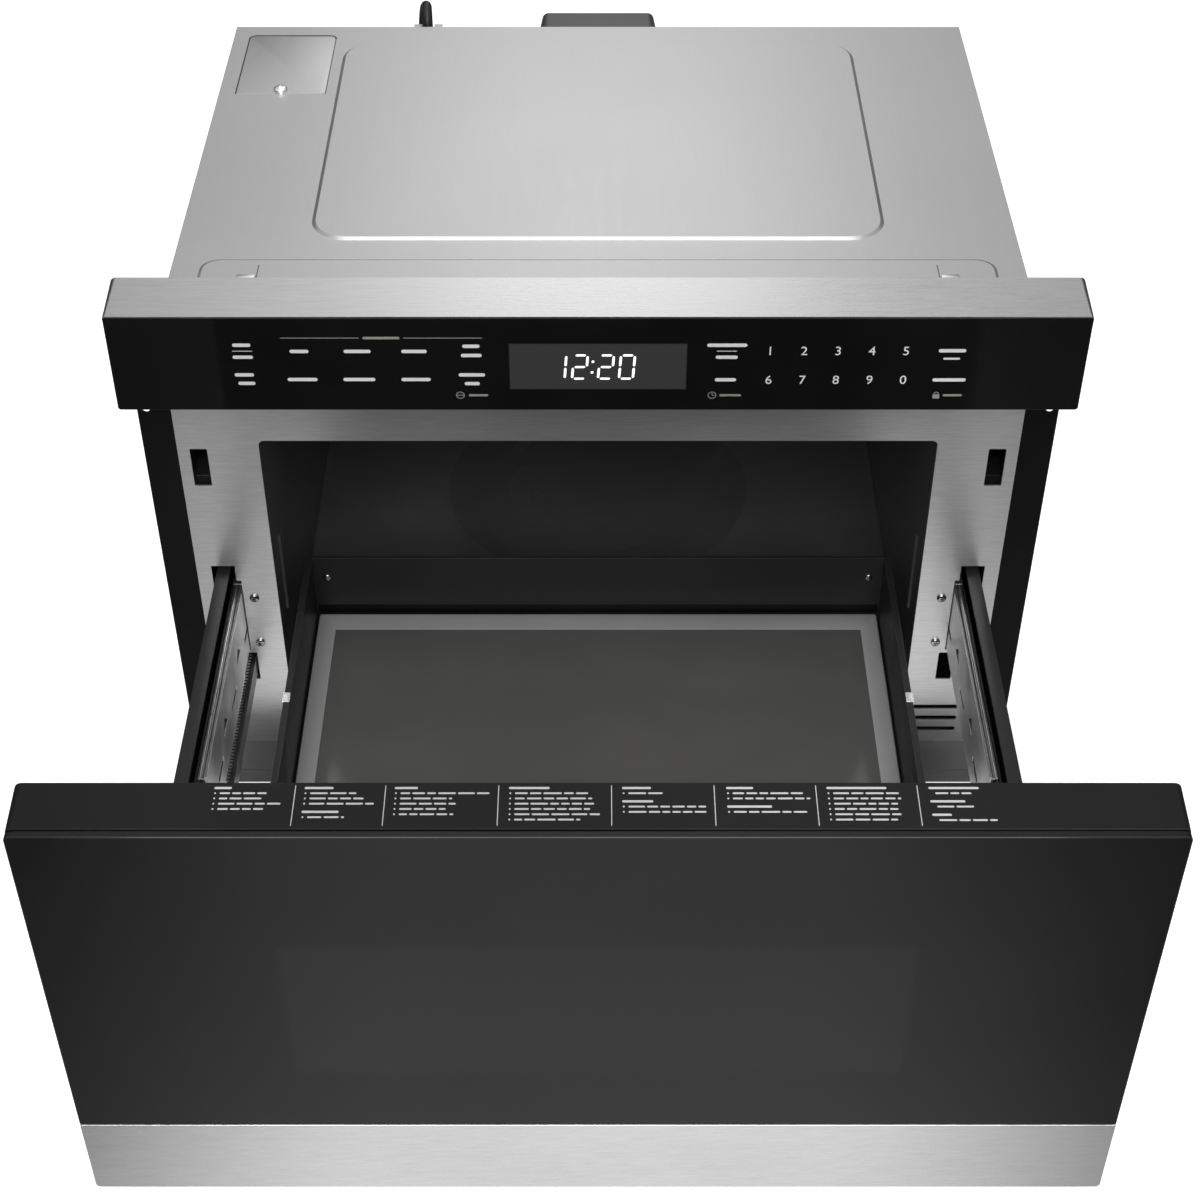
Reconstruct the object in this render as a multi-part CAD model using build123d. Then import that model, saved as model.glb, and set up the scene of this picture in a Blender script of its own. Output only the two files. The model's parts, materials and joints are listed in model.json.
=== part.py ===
from build123d import *
import math
import os

# Built-in microwave drawer, drawn out to its stop. Millimetres, +X right, +Y into the cabinet, +Z up.
# Origin: underside of the base, on the centre line, in the plane of the cabinet front.
# Pieces of the drawer are drawn shut and moved out by STROKE where the parts are listed at the end.

# ---- Driving sizes ----------------------------------------------------------------------------------
BODY_HALF_W = 278.65      # half width of the casing and its face plate
BODY_H = 376.0            # underside of the base to the top cover
BODY_D = 401.8            # cabinet front plane to the rear of the casing
FRONT_HALF_W = 301.5      # half width of the glass fronts
FRONT_Y = -42.2           # plane of the glass fronts when the drawer is shut
SHEET = 0.8               # casing and cavity sheet
PLATE = 1.2               # face plate, flanges, base and tray sheet
DRAFT = 2.3               # draft of the moulded fronts, degrees
RUN_GAP = 0.3             # clearance between pieces that move past each other
CORNER_R = 3.0            # corner radius of the fronts

# Base, flanges and casing
BASE_NOSE = 39.4          # how far the base reaches out in front of the cabinet
BASE_HEM = 8.0
BASE_FLANGE_H = 12.0
FLANGE_INSET = 0.9        # flange edge inside the edge of the fronts
FLANGE_LEG = 22.0
FLANGE_HOLE_R = 2.5
FLANGE_HOLE_EDGE = 5.9    # hole centre to the outer edge of the flange
FLANGE_HOLE_TOP = 304.7
FLANGE_HOLE_LOW = 30.0
COVER_LIP = 9.0
PAD_HALF_W = 192.3        # raised panel pressed in the top cover
PAD_Y0 = 93.9
PAD_REAR = 26.8           # its rear edge to the rear of the casing
PAD_R = 25.0
PAD_RISE = 1.6
PAD_SLOPE = 1.5           # run of a pressing's edge for each unit of its rise
NOSE_PAD_SIDE = 18.75     # shallow pressing along the front of the top cover
NOSE_PAD_Y0 = 6.0
NOSE_PAD_Y1 = 70.5
NOSE_PAD_RISE = 0.7
TAB_SLOT_X = 228.0        # slots for the cabinet's hold-down tabs
TAB_SLOT_Y = 48.0
TAB_SLOT_W = 10.4
TAB_SLOT_H = 4.0
HATCH_SIDE = 11.65        # access cover at the rear left of the top
HATCH_REAR = 13.5
HATCH_W = 66.6
HATCH_D = 91.0
HATCH_LAP = 6.0
VENT_W = 4.1
VENT_L = 42.0
VENT_PITCH = 11.2
VENT_GAP = 13.0           # between two columns of vents
FACE_VENT_Z = 14.4
SIDE_VENT_TOP = 31.2      # top row of a side panel's vents below the top cover
SIDE_VENT_REAR = 70.0
SIDE_VENT_ROWS = 5
BACK_VENT_X0 = 110.0
BACK_VENT_TOP = 25.0
BACK_VENT_ROWS = 6

# Cavity
SIDE_SPACE = 54.15        # casing side to the cavity, for the slides and the drive
REAR_SPACE = 8.8          # rear of the casing to the cavity
CAVITY_TOP = 281.5
CAVITY_FLOOR = 50.0
CAVITY_R = 4.0
BEAD_Y = 27.5
BEAD_Z0 = 110.0
BEAD_Z1 = 176.0
BEAD_R = 2.0
WELL_REAR = 148.0         # rear of the cavity to the centre of the stirrer well
WELL_HOLE_R = 121.0
WELL_DISH_R = 94.0
WELL_DISH_DEPTH = 8.0
WELL_COVER_T = 3.0
WELL_COVER_GAP = 0.4
WELL_FLANGE = 7.0
WELL_WALL = 4.0           # wall of the well inside the rim of its flange
WELL_DEPTH = 12.4
PORT_R = 18.0
STIRRER_R = 60.0
STIRRER_SHAFT_R = 3.0
STIRRER_BORE = 5.0        # depth of the shaft in its motor
SHAFT_FIT = 0.05
GUIDE_HALF_W = 48.0       # waveguide
GUIDE_H = 16.0
GUIDE_FRONT = 40.0        # how far the waveguide reaches in front of the stirrer
DUCT_DEPTH = 48.0         # rear waveguide, behind the casing
DUCT_Z0 = 14.0
DUCT_TOP = 8.0
DUCT_DRAFT = 4.7
DUCT_R = 9.0
DUCT_FLANGE = 6.4
STIRRER_MOTOR_R = 24.0

# Electrical parts on the component tray
MAGNETRON_DROP = 47.0     # below the top cover
MAGNETRON_HALF_W = 42.0
MAGNETRON_HALF_H = 36.0
MAGNETRON_L = 66.0
FILTER_L = 22.0
ANODE_R = 19.0
MAGNET_T = 10.0
ANTENNA_R = 8.0
ANTENNA_L = 21.0
FIN_COUNT = 5
FIN_PITCH = 7.5
CORE_X = -167.0           # transformer
CORE_REAR = 69.8
CORE_W = 90.0
CORE_D = 56.0
CORE_H = 74.0
CORE_LEG = 15.0
CORE_FOOT = 9.0
COIL_GAP = 0.4
CAPACITOR_X = -82.0
CAPACITOR_REAR = 56.8
CAPACITOR_W = 52.0
CAPACITOR_D = 32.0
CAPACITOR_H = 74.0
FAN_X = 160.0
FAN_REAR = 71.8
FAN_R = 39.0
FAN_TIP_GAP = 2.0
FAN_DEPTH = 12.0
FAN_BLADES = 6
FAN_PITCH = 36.0
FAN_SHAFT_R = 2.5
FAN_SHAFT_L = 12.0
FAN_MOTOR_R = 22.0
FAN_MOTOR_L = 28.0

# Control panel
PANEL_DROP = 39.3         # bottom edge of the panel below the top cover
PANEL_H = 70.1
PANEL_GLASS = 3.0
PANEL_R = 2.0
PANEL_WALL = 2.5
DISPLAY_HALF_W = 55.0
DISPLAY_RISE = 17.3       # display above the panel's bottom edge
DISPLAY_H = 37.0
DISPLAY_D = 12.0
BOARD_HALF_W = 270.0
BOARD_T = 1.6
BOARD_GAP = 8.3           # board above the floor of the housing

# Slides and support arms
SLIDE_Z = 122.5           # middle height of the slides
SLIDE_HALF_H = 26.5       # half height of the middle member
SLIDE_WEB = 1.5
SLIDE_OUT = 25.1          # cavity side to the middle member's web
MID_FLANGE = 5.8
MID_RACE_T = 2.2
CABINET_WEB_GAP = 1.1     # cabinet member's web to the middle member's web
CABINET_FLANGE = 8.5
MID_ARM_GAP = 0.6         # middle member's edge to the support arm
ARM_W = 9.3
ARM_HALF_H = 33.5
ARM_RISE = 11.0           # middle of the arm above the middle of the slide
ARM_T = 1.6
ARM_TAB = 14.0
DRAWER_FLANGE = 3.8
BALL_R = 1.6
BALL_FIT = 0.08
RACE_SINK = 0.58          # how deep the ball grooves go
BALLS = 3
CAGE_L = 130.0
CAGE_T = 0.6
SLOT_GAP = 0.7            # face plate slot to the middle member
SLOT_FOOT = 2.0
SLOT_SHOULDER = 10.4      # shoulder of the slot above the middle member
SLOT_STEP = 3.2
SLOT_HEAD = 5.8           # head of the slot above the support arm
SLOT_SIDE = 3.1
BRACKET_TAB = 15.5
SCREW_STEP = 21.0         # slide screws above and below the middle of the slides
SCREW_HEAD_R = 3.2
SCREW_SHANK_R = 1.75
SCREW_HEAD_H = 1.8

# Rack drive, on the left
MODULE = 1.0
PRESSURE = 20.0           # pressure angle, degrees
PINION_TEETH = 20
BACKLASH = 0.24
RACK_OUT = 22.2           # cavity side to the back of the rack
RACK_T = 5.7
RACK_DROP = 45.5          # middle of the rack below the middle of the slides
RACK_H = 14.0
RACK_PLAIN = 13.0         # length without teeth next to the drawer front
RACK_FOOT = 8.0
RACK_SLOT_SIDE = 1.7
RACK_SLOT_END = 3.6
RACK_SLOT_FOOT = 4.9
RACK_SLOT_HEAD = 7.1
PINION_Y = 18.0
PINION_SHAFT_R = 4.0
PINION_BORE = 10.0
GEARBOX_H = 40.0
GEARBOX_Y1 = 52.0
GEARBOX_W = 43.5
GEARBOX_SIDE = 2.15       # gearbox to the side of the casing
GEARBOX_EAR = 8.0
MOTOR_R = 17.0
MOTOR_L = 62.0

# Latches
LATCH_SIDE = 8.05         # latch slots to the edge of the face plate
LATCH_W = 11.6
LATCH_DROP = 116.3        # middle of the latch slots below the top cover's top
LATCH_H = 30.9
LATCH_GAP = 1.2           # slot to the walls of its bracket
LATCH_D = 42.0
SWITCH_Y0 = 8.0
SWITCH_L = 22.0
HOOK_T = 5.6
HOOK_REACH = 26.0
HOOK_H = 12.0
HOOK_BARB = 4.5
HOOK_TIP = 8.0

# Drawer front
FRONT_Z0 = 20.6
FRONT_Z1 = 331.2
TRIM_H = 63.0             # height of the steel strip below the glass
GLASS_GAP = 1.0           # shadow gap between glass and strip
FRONT_GLASS = 4.0
FRONT_DEPTH = 37.0
FRONT_WALL = 3.0
SHADOW = 1.6              # groove between the glass edge and the moulded frame
RIB_T = 2.5
WINDOW_HALF_W = 171.0
WINDOW_Z0 = 135.0
WINDOW_Z1 = 244.5
WINDOW_LAP = 5.0
PANEL_T = 1.0
PANEL_INSET = 5.0
CHOKE_LAP = 11.5          # choke ring outside the mouth of the cavity
CHOKE_W = 19.0
CHOKE_T = 2.4
CHOKE_R = 8.0

# Drawer bin and tray
BIN_GAP = 20.8            # side walls of the bin to the cavity walls
BIN_TOP = 150.5
BIN_BOTTOM = 92.8
BIN_LIP = 4.5
BIN_FOOT = 16.0
BIN_TAB = 11.0
BIN_REAR_GAP = 3.9        # rear wall of the bin to the rear of the cavity
BIN_RETURN = 58.5
BIN_REAR_LIP = 2.4
BIN_SCREW_IN = 9.5
BIN_SCREW_DROP = 17.8
TRAY_GAP = 1.6
TRAY_H = 6.0
TRAY_BORDER = 12.9
TRAY_END_BORDER = 15.9
TRAY_LEDGE = 5.2
TRAY_LEDGE_T = 2.4
TRAY_GLASS_T = 3.0
TRAY_R = 6.0
CLIP_Y = 241.6
CLIP_L = 9.0
CLIP_DROP = 2.5

# Power cord
CORD_D = 8.0
CORD_X = -132.0
CORD_OUT = 7.7            # upright part of the cord behind the casing
BOOT_Z = 338.0
BOOT_L = 22.0
BOOT_BASE = 20.0
CORD_CLIP_HALF_W = 11.0
CORD_CLIP_H = 6.0
CORD_CLIP_DROP = 5.5      # cord clip below the top cover
COIL_OUT = 194.2          # centre of the coil behind the casing
COIL_X = -118.0
COIL_R = 51.0
COIL_PITCH = 8.75
COIL_TURNS = 3.0
COIL_FAN = 22.0
PLUG_L = 38.0
PLUG_NOSE = 12.0
PLUG_W = 26.0
PLUG_H = 25.0
BLADE_L = 18.0
BLADE_SPREAD = 12.7
EARTH_PIN_R = 2.4
CORD_FLOOR_Z = CORD_D / 2 + 0.1
CORD_ROUTE = [
    (CORD_X, BODY_D + CORD_OUT, BOOT_Z + BOOT_L),
    (CORD_X, BODY_D + CORD_OUT, 374.0),
    (-134.0, BODY_D + 15.7, 384.0),
    (-136.5, BODY_D + 27.7, 383.0),
    (-138.5, BODY_D + 37.7, 373.0),
    (-140.0, BODY_D + 43.2, 350.0),
    (-143.0, BODY_D + 46.2, 305.0),
    (-147.0, BODY_D + 48.2, 235.0),
    (-152.0, BODY_D + 55.2, 165.0),
    (-157.0, BODY_D + 63.2, 105.0),
    (-161.0, BODY_D + 73.2, 60.0),
    (-163.5, BODY_D + 90.2, 24.0),
    (-165.0, BODY_D + 122.2, CORD_FLOOR_Z),
    (COIL_X - COIL_R, BODY_D + 156.2, CORD_FLOOR_Z),
    (COIL_X - COIL_R, BODY_D + COIL_OUT - CORD_D, CORD_FLOOR_Z),
]

# ---- Sizes that follow ------------------------------------------------------------------------------
FACE_Y = -PLATE                                  # front of the face plate
SIDE_X = BODY_HALF_W - SHEET                     # inner face of a side panel
BACK_Y = BODY_D - SHEET                          # inner face of the back panel
COVER_Z = BODY_H - SHEET                         # underside of the top cover
FLANGE_X = FRONT_HALF_W - FLANGE_INSET           # outer edge of a mounting flange
CAVITY_HALF_W = BODY_HALF_W - SIDE_SPACE
CAVITY_D = BODY_D - REAR_SPACE
STROKE = CAVITY_D - 37.4                         # travel of the drawer, on 14 inch slides
LINER_TOP = CAVITY_TOP + SHEET
LINER_BOTTOM = CAVITY_FLOOR - SHEET
TRAY_Z1 = LINER_TOP + PLATE                      # top of the component tray
WELL_Y = CAVITY_D - WELL_REAR
WELL_FLANGE_Z = LINER_BOTTOM - WELL_COVER_T
WELL_FLOOR = WELL_FLANGE_Z - WELL_DEPTH          # underside of the stirrer well
GUIDE_Z1 = WELL_FLOOR
GUIDE_Z0 = GUIDE_Z1 - GUIDE_H - SHEET
HATCH_X0 = HATCH_SIDE - BODY_HALF_W
HATCH_X1 = HATCH_X0 + HATCH_W
HATCH_Y1 = BODY_D - HATCH_REAR
HATCH_Y0 = HATCH_Y1 - HATCH_D
MAGNETRON_Z = BODY_H - MAGNETRON_DROP
FAN_Z = TRAY_Z1 + FAN_R + FAN_TIP_GAP + PLATE + 2.3
PANEL_Z0 = BODY_H - PANEL_DROP
PANEL_Z1 = PANEL_Z0 + PANEL_H
PANEL_GLASS_TOP = PANEL_Z1 - SHEET
BOARD_Y = FRONT_Y + PANEL_GLASS + DISPLAY_D      # front face of the control board
FRAME_Y0 = FRONT_Y + FRONT_GLASS                 # rear of the glass, front of the moulded frame
FRAME_Y1 = FRONT_Y + FRONT_DEPTH                 # rear of the moulded frame
PANEL_BACK = FRAME_Y1 + PANEL_T                  # rear face of the inner panel
SLIDE_L = STROKE                                 # length of every slide member
MID_WEB_X = CAVITY_HALF_W + SLIDE_OUT            # inner face of the middle member's web
MID_RACE_Z = SLIDE_HALF_H - MID_RACE_T           # inner face of the middle member's raceway
BALL_GAP = 2 * (BALL_R + BALL_FIT - RACE_SINK)   # between facing raceways
OUTER_BALL_Z = SLIDE_HALF_H + BALL_GAP / 2
INNER_BALL_Z = MID_RACE_Z - BALL_GAP / 2
CABINET_HALF_H = SLIDE_HALF_H + BALL_GAP + SLIDE_WEB
DRAWER_HALF_H = MID_RACE_Z - BALL_GAP
CABINET_WEB_X = MID_WEB_X - CABINET_WEB_GAP - SLIDE_WEB
BRACKET_X0 = CABINET_WEB_X - SLIDE_WEB
SCREW_X = CABINET_WEB_X - BRACKET_TAB / 2 + 2.05
ARM_X0 = MID_WEB_X + MID_FLANGE + MID_ARM_GAP    # inner face of the support arm
ARM_X1 = ARM_X0 + ARM_W
ARM_Z0 = SLIDE_Z + ARM_RISE - ARM_HALF_H
ARM_Z1 = SLIDE_Z + ARM_RISE + ARM_HALF_H
ARM_REAR_Y = CAVITY_D - 8.0
OUTER_BALL_X = MID_WEB_X + MID_FLANGE / 2 + 0.1
DRAWER_WEB_X = ARM_X0 - SLIDE_WEB
INNER_BALL_X = DRAWER_WEB_X - BALL_R + 0.7
SLIDE_Y0 = 2.0
MID_Y0 = PANEL_BACK + 0.7                         # front of the middle member, drawer shut
RACK_BACK_X = CAVITY_HALF_W + RACK_OUT
RACK_TIP_X = RACK_BACK_X + RACK_T
RACK_PITCH_X = RACK_TIP_X - MODULE
RACK_Z0 = SLIDE_Z - RACK_DROP - RACK_H / 2
RACK_Z1 = RACK_Z0 + RACK_H
RACK_REAR_Y = CAVITY_D - 7.4
PITCH_R = MODULE * PINION_TEETH / 2
PINION_X = RACK_PITCH_X + PITCH_R
GEARBOX_Z1 = RACK_Z0 - 2.0
GEARBOX_Z0 = GEARBOX_Z1 - GEARBOX_H
GEARBOX_X1 = BODY_HALF_W - GEARBOX_SIDE
GEARBOX_X0 = GEARBOX_X1 - GEARBOX_W
LATCH_X1 = BODY_HALF_W - LATCH_SIDE
LATCH_X0 = LATCH_X1 - LATCH_W
LATCH_X = (LATCH_X0 + LATCH_X1) / 2
LATCH_Z0 = BODY_H - LATCH_DROP - LATCH_H / 2 - 0.45
LATCH_Z1 = LATCH_Z0 + LATCH_H
HOOK_Z = (LATCH_Z0 + LATCH_Z1) / 2 - 1.25
TRIM_TOP = FRONT_Z0 + TRIM_H
GLASS_BOTTOM = TRIM_TOP + GLASS_GAP
BIN_HALF_W = CAVITY_HALF_W - BIN_GAP
BIN_OUT = BIN_HALF_W + PLATE
BIN_REAR_Y = CAVITY_D - BIN_REAR_GAP             # inner face of the bin's rear wall
BIN_RETURN_Y = BIN_REAR_Y - BIN_RETURN           # where its returns meet the side walls
TRAY_Z0 = BIN_BOTTOM + PLATE
TRAY_TOP = TRAY_Z0 + TRAY_H
TRAY_SEAT = TRAY_Z0 + TRAY_LEDGE_T
CORD_Y = BODY_D + CORD_OUT
COIL_Y = BODY_D + COIL_OUT


# ---- Helpers ----------------------------------------------------------------------------------------
def rect(x0, x1, y0, y1):
    """A rectangle between two corners."""
    return Pos((x0 + x1) / 2, (y0 + y1) / 2) * Rectangle(x1 - x0, y1 - y0)


def round_rect(x0, x1, y0, y1, radius):
    """A rectangle between two corners, with rounded corners."""
    return Pos((x0 + x1) / 2, (y0 + y1) / 2) * RectangleRounded(x1 - x0, y1 - y0, radius)


def outline(*points):
    """A flat face inside straight lines, facing up whichever way the points run."""
    face = Polygon(*points, align=None)
    if face.face().normal_at().Z < 0:
        face = Polygon(*reversed(points), align=None)
    return face


def along_x(face, x0, x1):
    """A (Y, Z) face drawn out from x0 to x1."""
    return extrude(Plane.YZ.offset(x0) * face, x1 - x0)


def along_y(face, y0, y1):
    """An (X, Z) face drawn out from y0 to y1."""
    return extrude(Plane.XZ.offset(-y1) * face, y1 - y0)


def along_z(face, z0, z1):
    """An (X, Y) face drawn out from z0 to z1."""
    return extrude(Plane.XY.offset(z0) * face, z1 - z0)


def widening(face, y0, y1, draft):
    """An (X, Z) face drawn backwards from y0 to y1, growing by the draft."""
    return mirror(extrude(Plane.XZ.offset(y0) * face, y1 - y0, taper=-draft), Plane.XZ)


def left(shape):
    """The left-hand twin of a right-hand piece."""
    return mirror(shape, Plane.YZ)


def pair(shape):
    """A right-hand piece with its left-hand twin."""
    return shape + left(shape)


def bar_y(x, z, radius, y0, y1):
    """A round bar along Y."""
    return along_y(Pos(x, z) * Circle(radius), y0, y1)


# ---- Casing -----------------------------------------------------------------------------------------
def base_pan():
    """Base sheet with a hemmed nose in front and upturned flanges inside the casing."""
    nose = SlotOverall(BASE_HEM, 2 * PLATE)
    hem = Pos(-BASE_NOSE + BASE_HEM / 2, PLATE) * nose
    profile = rect(-BASE_NOSE + PLATE, BODY_D, 0, PLATE) + hem
    pan = along_x(profile, -BODY_HALF_W, BODY_HALF_W)
    flange = along_y(rect(SIDE_X - PLATE, SIDE_X, PLATE, BASE_FLANGE_H), 0, BACK_Y)
    rear = along_x(rect(BACK_Y - PLATE, BACK_Y, PLATE, BASE_FLANGE_H), PLATE - SIDE_X, SIDE_X - PLATE)
    return pan + pair(flange) + rear


def cavity_outline(grow=0.0):
    """Section of the oven cavity, grown for its outer face."""
    face = round_rect(-CAVITY_HALF_W, CAVITY_HALF_W, CAVITY_FLOOR, CAVITY_TOP, CAVITY_R)
    return offset(face, grow) if grow else face


def slide_slot():
    """Slot that the right-hand slide and support arm pass through."""
    x1 = ARM_X1 + SLOT_SIDE
    shoulder = SLIDE_Z + SLIDE_HALF_H + SLOT_SHOULDER
    lower = rect(MID_WEB_X - SLOT_GAP, x1, SLIDE_Z - SLIDE_HALF_H - SLOT_FOOT, shoulder)
    upper = rect(MID_WEB_X - SLOT_GAP + SLOT_STEP, x1, shoulder - 1, ARM_Z1 + SLOT_HEAD)
    return lower + upper


def vent_block(x0, columns, top, rows):
    """A block of vent slots, to be cut from an (X, Z) or (Y, Z) face."""
    slots = Sketch()
    for column in range(columns):
        start = x0 + column * (VENT_L + VENT_GAP)
        for row in range(rows):
            z = top - row * VENT_PITCH
            slots += rect(start, start + VENT_L, z - VENT_W / 2, z + VENT_W / 2)
    return slots


def face_plate():
    """Brushed plate round the cavity mouth, with the slots for slides, rack and latches."""
    plate = rect(-BODY_HALF_W, BODY_HALF_W, PLATE, COVER_Z) - cavity_outline()
    latch = round_rect(LATCH_X0, LATCH_X1, LATCH_Z0, LATCH_Z1, 1.0)
    rack = round_rect(RACK_BACK_X - RACK_SLOT_SIDE, RACK_TIP_X + RACK_SLOT_END,
                      RACK_Z0 - RACK_SLOT_FOOT, RACK_Z1 + RACK_SLOT_HEAD, 1.0)
    for cut in (latch, rack, slide_slot()):
        plate -= cut + mirror(cut, Plane.YZ)
    for z in (SLIDE_Z - SCREW_STEP, SLIDE_Z + SCREW_STEP):
        for x in (-SCREW_X, SCREW_X):
            plate -= Pos(x, z) * Circle(SCREW_SHANK_R)
    for row in range(3):
        z = FACE_VENT_Z + VENT_PITCH * row
        plate -= Pos(LATCH_X - VENT_L / 2, z) * SlotOverall(VENT_L, VENT_W)
    return along_y(plate, FACE_Y, 0)


def mount_flanges():
    """Black angle at each side that screws to the cabinet."""
    x0 = BODY_HALF_W
    x1 = FLANGE_X
    angle = rect(x0, x1, FACE_Y, 0) + rect(x0, x0 + PLATE, FACE_Y, FLANGE_LEG)
    angle = fillet(angle.vertices().sort_by_distance((x0 + PLATE, 0))[0], PLATE)
    flange = along_z(angle, PLATE, COVER_Z)
    for z in (FLANGE_HOLE_LOW, FLANGE_HOLE_TOP):
        flange -= bar_y(x1 - FLANGE_HOLE_EDGE, z, FLANGE_HOLE_R, FACE_Y - 1, 1)
    return pair(flange)


def side_panels():
    """Side sheets with a block of cooling slots towards the rear."""
    start = BODY_D - SIDE_VENT_REAR - 2 * VENT_L - VENT_GAP
    vents = vent_block(start, 2, BODY_H - SIDE_VENT_TOP, SIDE_VENT_ROWS)
    return pair(along_x(rect(0, BACK_Y, PLATE, COVER_Z) - vents, SIDE_X, BODY_HALF_W))


def back_panel():
    """Rear sheet with the waveguide ports, the exhaust slots and the cord's way out."""
    face = rect(-BODY_HALF_W, BODY_HALF_W, PLATE, COVER_Z)
    face -= Pos(0, MAGNETRON_Z) * Circle(ANTENNA_R * 2)
    face -= guide_bore()
    face -= Pos(CORD_X, BOOT_Z - BOOT_BASE / 2) * Circle(CORD_D / 2 + 1)
    face -= vent_block(BACK_VENT_X0, 3, BODY_H - BACK_VENT_TOP, BACK_VENT_ROWS)
    return along_y(face, BACK_Y, BODY_D)


def frustum(x0, x1, y0, y1, radius, z0, z1, slope):
    """A low block whose edges draw in by the slope."""
    top = round_rect(x0 + slope, x1 - slope, y0 + slope, y1 - slope, radius - slope)
    return loft([Plane.XY.offset(z0) * round_rect(x0, x1, y0, y1, radius), Plane.XY.offset(z1) * top],
                ruled=True)


def pressing(x0, x1, y0, y1, radius, rise):
    """A raised pressing with sloping edges in the top cover, and the hollow below it."""
    slope = rise * PAD_SLOPE
    raised = frustum(x0, x1, y0, y1, radius, BODY_H, BODY_H + rise, slope)
    inset = SHEET * PAD_SLOPE
    hollow = frustum(x0 + inset, x1 - inset, y0 + inset, y1 - inset, radius - inset,
                     COVER_Z, COVER_Z + rise, slope)
    return raised, hollow


def top_cover():
    """Top sheet with its two pressings, the hatch opening and lips inside the casing."""
    cover = along_z(rect(-BODY_HALF_W, BODY_HALF_W, FACE_Y, BODY_D), COVER_Z, BODY_H)
    pad = pressing(-PAD_HALF_W, PAD_HALF_W, PAD_Y0, BODY_D - PAD_REAR, PAD_R, PAD_RISE)
    nose_x = BODY_HALF_W - NOSE_PAD_SIDE
    nose = pressing(-nose_x, nose_x, NOSE_PAD_Y0, NOSE_PAD_Y1, PAD_R / 2, NOSE_PAD_RISE)
    for raised, hollow in (pad, nose):
        cover = cover + raised - hollow
    lip_z = COVER_Z - COVER_LIP
    side = along_y(rect(SIDE_X - SHEET, SIDE_X, lip_z, COVER_Z), SHEET, BACK_Y - SHEET)
    ends = rect(0, SHEET, lip_z, COVER_Z) + rect(BACK_Y - SHEET, BACK_Y, lip_z, COVER_Z)
    cover += pair(side) + along_x(ends, -SIDE_X, SIDE_X)
    hatch = rect(HATCH_X0 + HATCH_LAP, HATCH_X1 - HATCH_LAP, HATCH_Y0 + HATCH_LAP, HATCH_Y1 - HATCH_LAP)
    cover -= along_z(hatch, COVER_Z - 1, BODY_H + 1)
    tab = Pos(TAB_SLOT_X, TAB_SLOT_Y) * Rectangle(TAB_SLOT_W, TAB_SLOT_H)
    return cover - pair(along_z(tab, COVER_Z - 1, BODY_H + PAD_RISE))


def access_cover():
    """Small cover over the wiring, lapping its opening all round."""
    sheet = along_z(round_rect(HATCH_X0, HATCH_X1, HATCH_Y0, HATCH_Y1, 2.0), BODY_H, BODY_H + SHEET)
    hole = Pos((HATCH_X0 + HATCH_X1) / 2, HATCH_Y0 + HATCH_LAP / 2) * Circle(SCREW_SHANK_R)
    return sheet - along_z(hole, BODY_H - 1, BODY_H + 2)


def component_tray():
    """Sheet over the cavity that carries the electrical parts."""
    tray = along_z(rect(-SIDE_X, SIDE_X, 0, BACK_Y), LINER_TOP, TRAY_Z1)
    drop = rect(SIDE_X - PLATE, SIDE_X, LINER_TOP - BASE_FLANGE_H, LINER_TOP)
    flange = along_y(drop, LATCH_D + BASE_FLANGE_H, BACK_Y)
    return tray + pair(flange)


def pan_screw(length):
    """A pan-head screw along +Z, its seat at Z = 0."""
    head = Cylinder(SCREW_HEAD_R, SCREW_HEAD_H, align=(Align.CENTER, Align.CENTER, Align.MIN))
    shank = Cylinder(SCREW_SHANK_R - 0.1, length, align=(Align.CENTER, Align.CENTER, Align.MAX))
    return head + shank


def casing_screws():
    """Four screws that hold the slide brackets to the face plate, and the access cover's screw."""
    screw = Pos(0, FACE_Y, 0) * Rot(90, 0, 0) * pan_screw(PLATE + SLIDE_WEB)
    x = (HATCH_X0 + HATCH_X1) / 2
    screws = Pos(x, HATCH_Y0 + HATCH_LAP / 2, BODY_H + SHEET) * pan_screw(SHEET)
    for z in (SLIDE_Z - SCREW_STEP, SLIDE_Z + SCREW_STEP):
        screws += pair(Pos(SCREW_X, 0, z) * screw)
    return screws


# ---- Cavity and stirrer -----------------------------------------------------------------------------
def cavity_liner():
    """Enamelled cavity with a bead in each side, a closed back and the hole over the stirrer well."""
    shell = along_y(cavity_outline(SHEET), 0, CAVITY_D + SHEET)
    shell -= along_y(cavity_outline(), -1, CAVITY_D)
    bead = along_z(Pos(CAVITY_HALF_W + SHEET / 2, BEAD_Y) * Circle(BEAD_R), BEAD_Z0, BEAD_Z1)
    bead &= along_y(cavity_outline(SHEET), 0, 2 * BEAD_Y)
    hole = along_z(Pos(0, WELL_Y) * Circle(WELL_HOLE_R), LINER_BOTTOM - 1, CAVITY_FLOOR + 1)
    return shell + pair(bead) - hole


def antenna_cover():
    """Shallow dish that closes the well and keeps spills off the stirrer."""
    dish_z = CAVITY_FLOOR - WELL_DISH_DEPTH
    rim_r = WELL_HOLE_R + WELL_FLANGE
    edge_r = WELL_HOLE_R - WELL_COVER_GAP
    top = [(0, dish_z), (WELL_DISH_R, dish_z), (edge_r, LINER_BOTTOM), (rim_r, LINER_BOTTOM)]
    low = [(rim_r, WELL_FLANGE_Z), (edge_r + 1, WELL_FLANGE_Z)]
    low += [(WELL_DISH_R + 1, dish_z - WELL_COVER_T), (0, dish_z - WELL_COVER_T)]
    return Pos(0, WELL_Y, 0) * revolve(Plane.XZ * outline(*top, *low), Axis.Z)


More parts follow.
